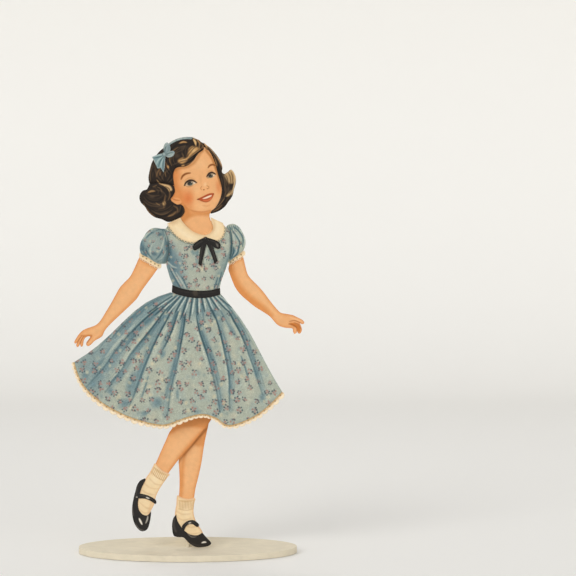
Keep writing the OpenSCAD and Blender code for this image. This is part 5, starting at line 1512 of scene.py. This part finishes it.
def shoulder_strap(tab):
    """The strip of the bodice that runs over the shoulder to a tab's crease."""
    (x0, y0, _), (x1, _, z1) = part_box(tab)
    return (x0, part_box("bodice")[0][1] + PAPER / 2, z1 - PAPER), (x1, y0 - CREASE_GAP, z1)


def waist_strap(tab, left):
    """The strip of the bodice that runs round the waist's edge to a tab's crease."""
    (x0, y0, z0), (x1, _, z1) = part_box(tab)
    x0, x1 = (x1 - PAPER, x1) if left else (x0, x0 + PAPER)
    return (x0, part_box("bodice")[0][1] + PAPER / 2, z0), (x1, y0 - CREASE_GAP, z1)


def headband_strap():
    """The strip of the headband that runs over the head's edge to its tab's crease."""
    (x0, y0, _), (x1, _, z1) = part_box("headband_tab")
    return (x0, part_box("headband")[0][1] + PAPER / 2, z1 - PAPER), (x1, y0 - CREASE_GAP, z1)


bodice_straps = [shoulder_strap("right_shoulder_tab"), shoulder_strap("left_shoulder_tab"),
                 waist_strap("right_waist_tab", False), waist_strap("left_waist_tab", True)]

# Pieces

# The hair's paper is dark right through, so its cut edges don't show as pale lines
HAIR_SHEET = {"step": 0.22, "bulge_mm": 0.5, "back": "#3A2E26"}

for node, slot, material, paint, base, more in (
    ("face", "skin_print_paper", skin, paint_face, SKIN, {"step": 0.16}),
    ("hair_crown", "hair_print_paper", hair, paint_hair, HAIR, HAIR_SHEET),
    ("right_curls", "hair_print_paper", hair, paint_hair, HAIR, HAIR_SHEET),
    ("left_curls", "hair_print_paper", hair, paint_hair, HAIR, HAIR_SHEET),
    ("headband", "blue_ribbon_paper", ribbon, paint_headband, RIBBON, {"straps": [headband_strap()]}),
    ("hair_bow", "blue_ribbon_paper", ribbon, paint_hair_bow, RIBBON, {"step": 0.2}),
    ("hair_bow_knot", "blue_ribbon_paper", ribbon, paint_hair_bow_knot, RIBBON, {"step": 0.2}),
    ("bodice", "dress_print_paper", dress, paint_bodice, DRESS, {"step": 0.25, "straps": bodice_straps}),
    ("right_collar", "lace_print_paper", lace, paint_collar, CREAM, {"step": 0.25}),
    ("left_collar", "lace_print_paper", lace, paint_collar, CREAM, {"step": 0.25}),
    ("neck_bow", "black_print_paper", black, paint_neck_bow, BLACK, {"step": 0.2}),
    ("neck_bow_knot", "black_print_paper", black, paint_neck_bow_knot, BLACK, {"step": 0.2}),
    ("belt", "black_print_paper", black, paint_belt, BLACK, {"step": 0.25}),
    ("skirt", "dress_print_paper", dress, paint_skirt, DRESS, {"step": 0.28, "curved": True}),
    ("hem_lace", "lace_print_paper", lace, paint_hem_lace, CREAM, {"curved": True}),
):
    cut_sheet(node, "doll", slot, material, paint, base=base, **more)

for side, arm_paint, sleeve_paint, leg_paint, sock_paint, shoe_paint, strap_paint in (
    ("right", paint_right_arm, paint_right_sleeve, paint_right_leg, paint_right_sock, paint_right_shoe,
     paint_right_strap),
    ("left", paint_left_arm, paint_left_sleeve, paint_left_leg, paint_left_sock, paint_left_shoe,
     paint_left_strap),
):
    arm, leg = side + "_arm", side + "_leg"
    cut_sheet(arm + "_card", arm, "skin_print_card", skin, arm_paint, base=SKIN, back=PULP)
    cut_sheet(side + "_sleeve", arm, "dress_print_paper", dress, sleeve_paint, step=0.22, base=DRESS,
              curved=True)
    cut_sheet(side + "_cuff_lace", arm, "lace_print_paper", lace, paint_lace_cuff, step=0.25, base=CREAM)
    cut_sheet(leg + "_card", leg, "skin_print_card", skin, leg_paint, base=SKIN, back=PULP)
    cut_sheet(side + "_sock", leg, "lace_print_paper", lace, sock_paint, step=0.22, base=CREAM)
    cut_sheet(side + "_shoe", leg, "shoe_print_paper", patent, shoe_paint, step=0.22, base=SHOE)
    cut_sheet(side + "_shoe_strap", leg, "shoe_print_paper", patent, strap_paint, step=0.22, base=SHOE)

# Lace threads: the hem's scallops fall where the lace's solid has its own, so many from end to end
HEM_SCALLOPS = 42
HEM_THREADS_OUT = 0.8 * MM
COLLAR_PITCH, CUFF_PITCH = 1.5 * MM, 1.45 * MM
TRIM_THREADS_OUT = -0.05 * MM

thread_tree = lace_thread_tree(lace)
hem = cut_edge("skirt", (75, 361.8), (282.2, 391.6))
hem_steps = (np.arange(HEM_SCALLOPS) + 0.5) / HEM_SCALLOPS * (len(hem) - 1)
lace_threads("hem_lace_threads", "doll", thread_tree,
             scallop_places("hem_lace", hem, hem_steps, HEM_THREADS_OUT),
             {"Rise": 0.46, "Thread": 0.06, "Unevenness": 0.12, "Seed": 5}, "#FBE8C9",
             ("#CBA672", "#94734A"))
collar_scallops = []
for node, start, end in (
    ("right_collar", (168, 224), (204, 243)), ("left_collar", (211, 241.6), (225, 226)),
):
    edge = cut_edge(node, start, end)
    collar_scallops.append(scallop_places(node, edge, even_steps(edge, COLLAR_PITCH), TRIM_THREADS_OUT))
lace_threads("collar_threads", "doll", thread_tree, np.concatenate(collar_scallops),
             {"Rise": 0.4, "Thread": 0.11, "Unevenness": 0.15, "Seed": 6}, "#F3DDB6")
for side, start, end in (("right", (139, 257.5), (159.6, 268.4)), ("left", (228.6, 263.6), (245, 254.4))):
    edge = cut_edge(side + "_cuff_lace", start, end)
    places = scallop_places(side + "_cuff_lace", edge, even_steps(edge, CUFF_PITCH), TRIM_THREADS_OUT)
    lace_threads(side + "_cuff_threads", side + "_arm", thread_tree, places,
                 {"Rise": 0.45, "Thread": 0.11, "Unevenness": 0.15, "Seed": 7}, "#FAE6C6")

# Pieces that keep their solids
for made, nodes in (
    (stand_card, ("stand_base", "stand_fin")),
    (doll_board, ("body_card",)),
    (board, ("right_shoulder_washer", "left_shoulder_washer", "left_hip_washer")),
    (brass, ("right_shoulder_brad", "left_shoulder_brad", "right_hip_brad", "left_hip_brad")),
    (tab_paper, ("right_shoulder_tab", "left_shoulder_tab", "right_waist_tab", "left_waist_tab",
                 "headband_tab")),
):
    for node in nodes:
        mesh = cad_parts[node].data
        mesh.materials.clear()
        mesh.materials.append(made)

# Camera, stage and light

make_camera()
# Floor and wall are one sheet with a round turn between them
WALL_AWAY, WALL_HIGH, SWEEP_RADIUS, STAGE_HALF = 1.7, 1.1, 0.6, 14.0
TURN_POINTS = 32
UNDER_BASE = 0.2 * MM
table_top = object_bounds()[0][2] - UNDER_BASE
profile = [(-STAGE_HALF, table_top)]
for angle in np.linspace(0, math.pi / 2, TURN_POINTS):
    profile.append((WALL_AWAY - SWEEP_RADIUS * (1 - math.sin(angle)),
                    table_top + SWEEP_RADIUS * (1 - math.cos(angle))))
profile.append((WALL_AWAY, WALL_HIGH))
sweep = put_mesh(
    "paper_sweep", [(x, y, z) for y, z in profile for x in (-STAGE_HALF, STAGE_HALF)],
    [(2 * i, 2 * i + 1, 2 * i + 3, 2 * i + 2) for i in range(len(profile) - 1)],
    plain_backdrop("seamless paper sweep", "#F1EFEA", 0.03))

soft_sun("key", (-0.7, -1.1, 0.8), 1.08, 33)
soft_sun("fill", (0.9, -1.2, 0.4), 0.48, 42)
soft_sun("back", (-0.5, 1.2, 1.1), 0.6, 30)
pale_world(0.5, 0.82)
bpy.context.scene.view_settings.view_transform = "Standard"
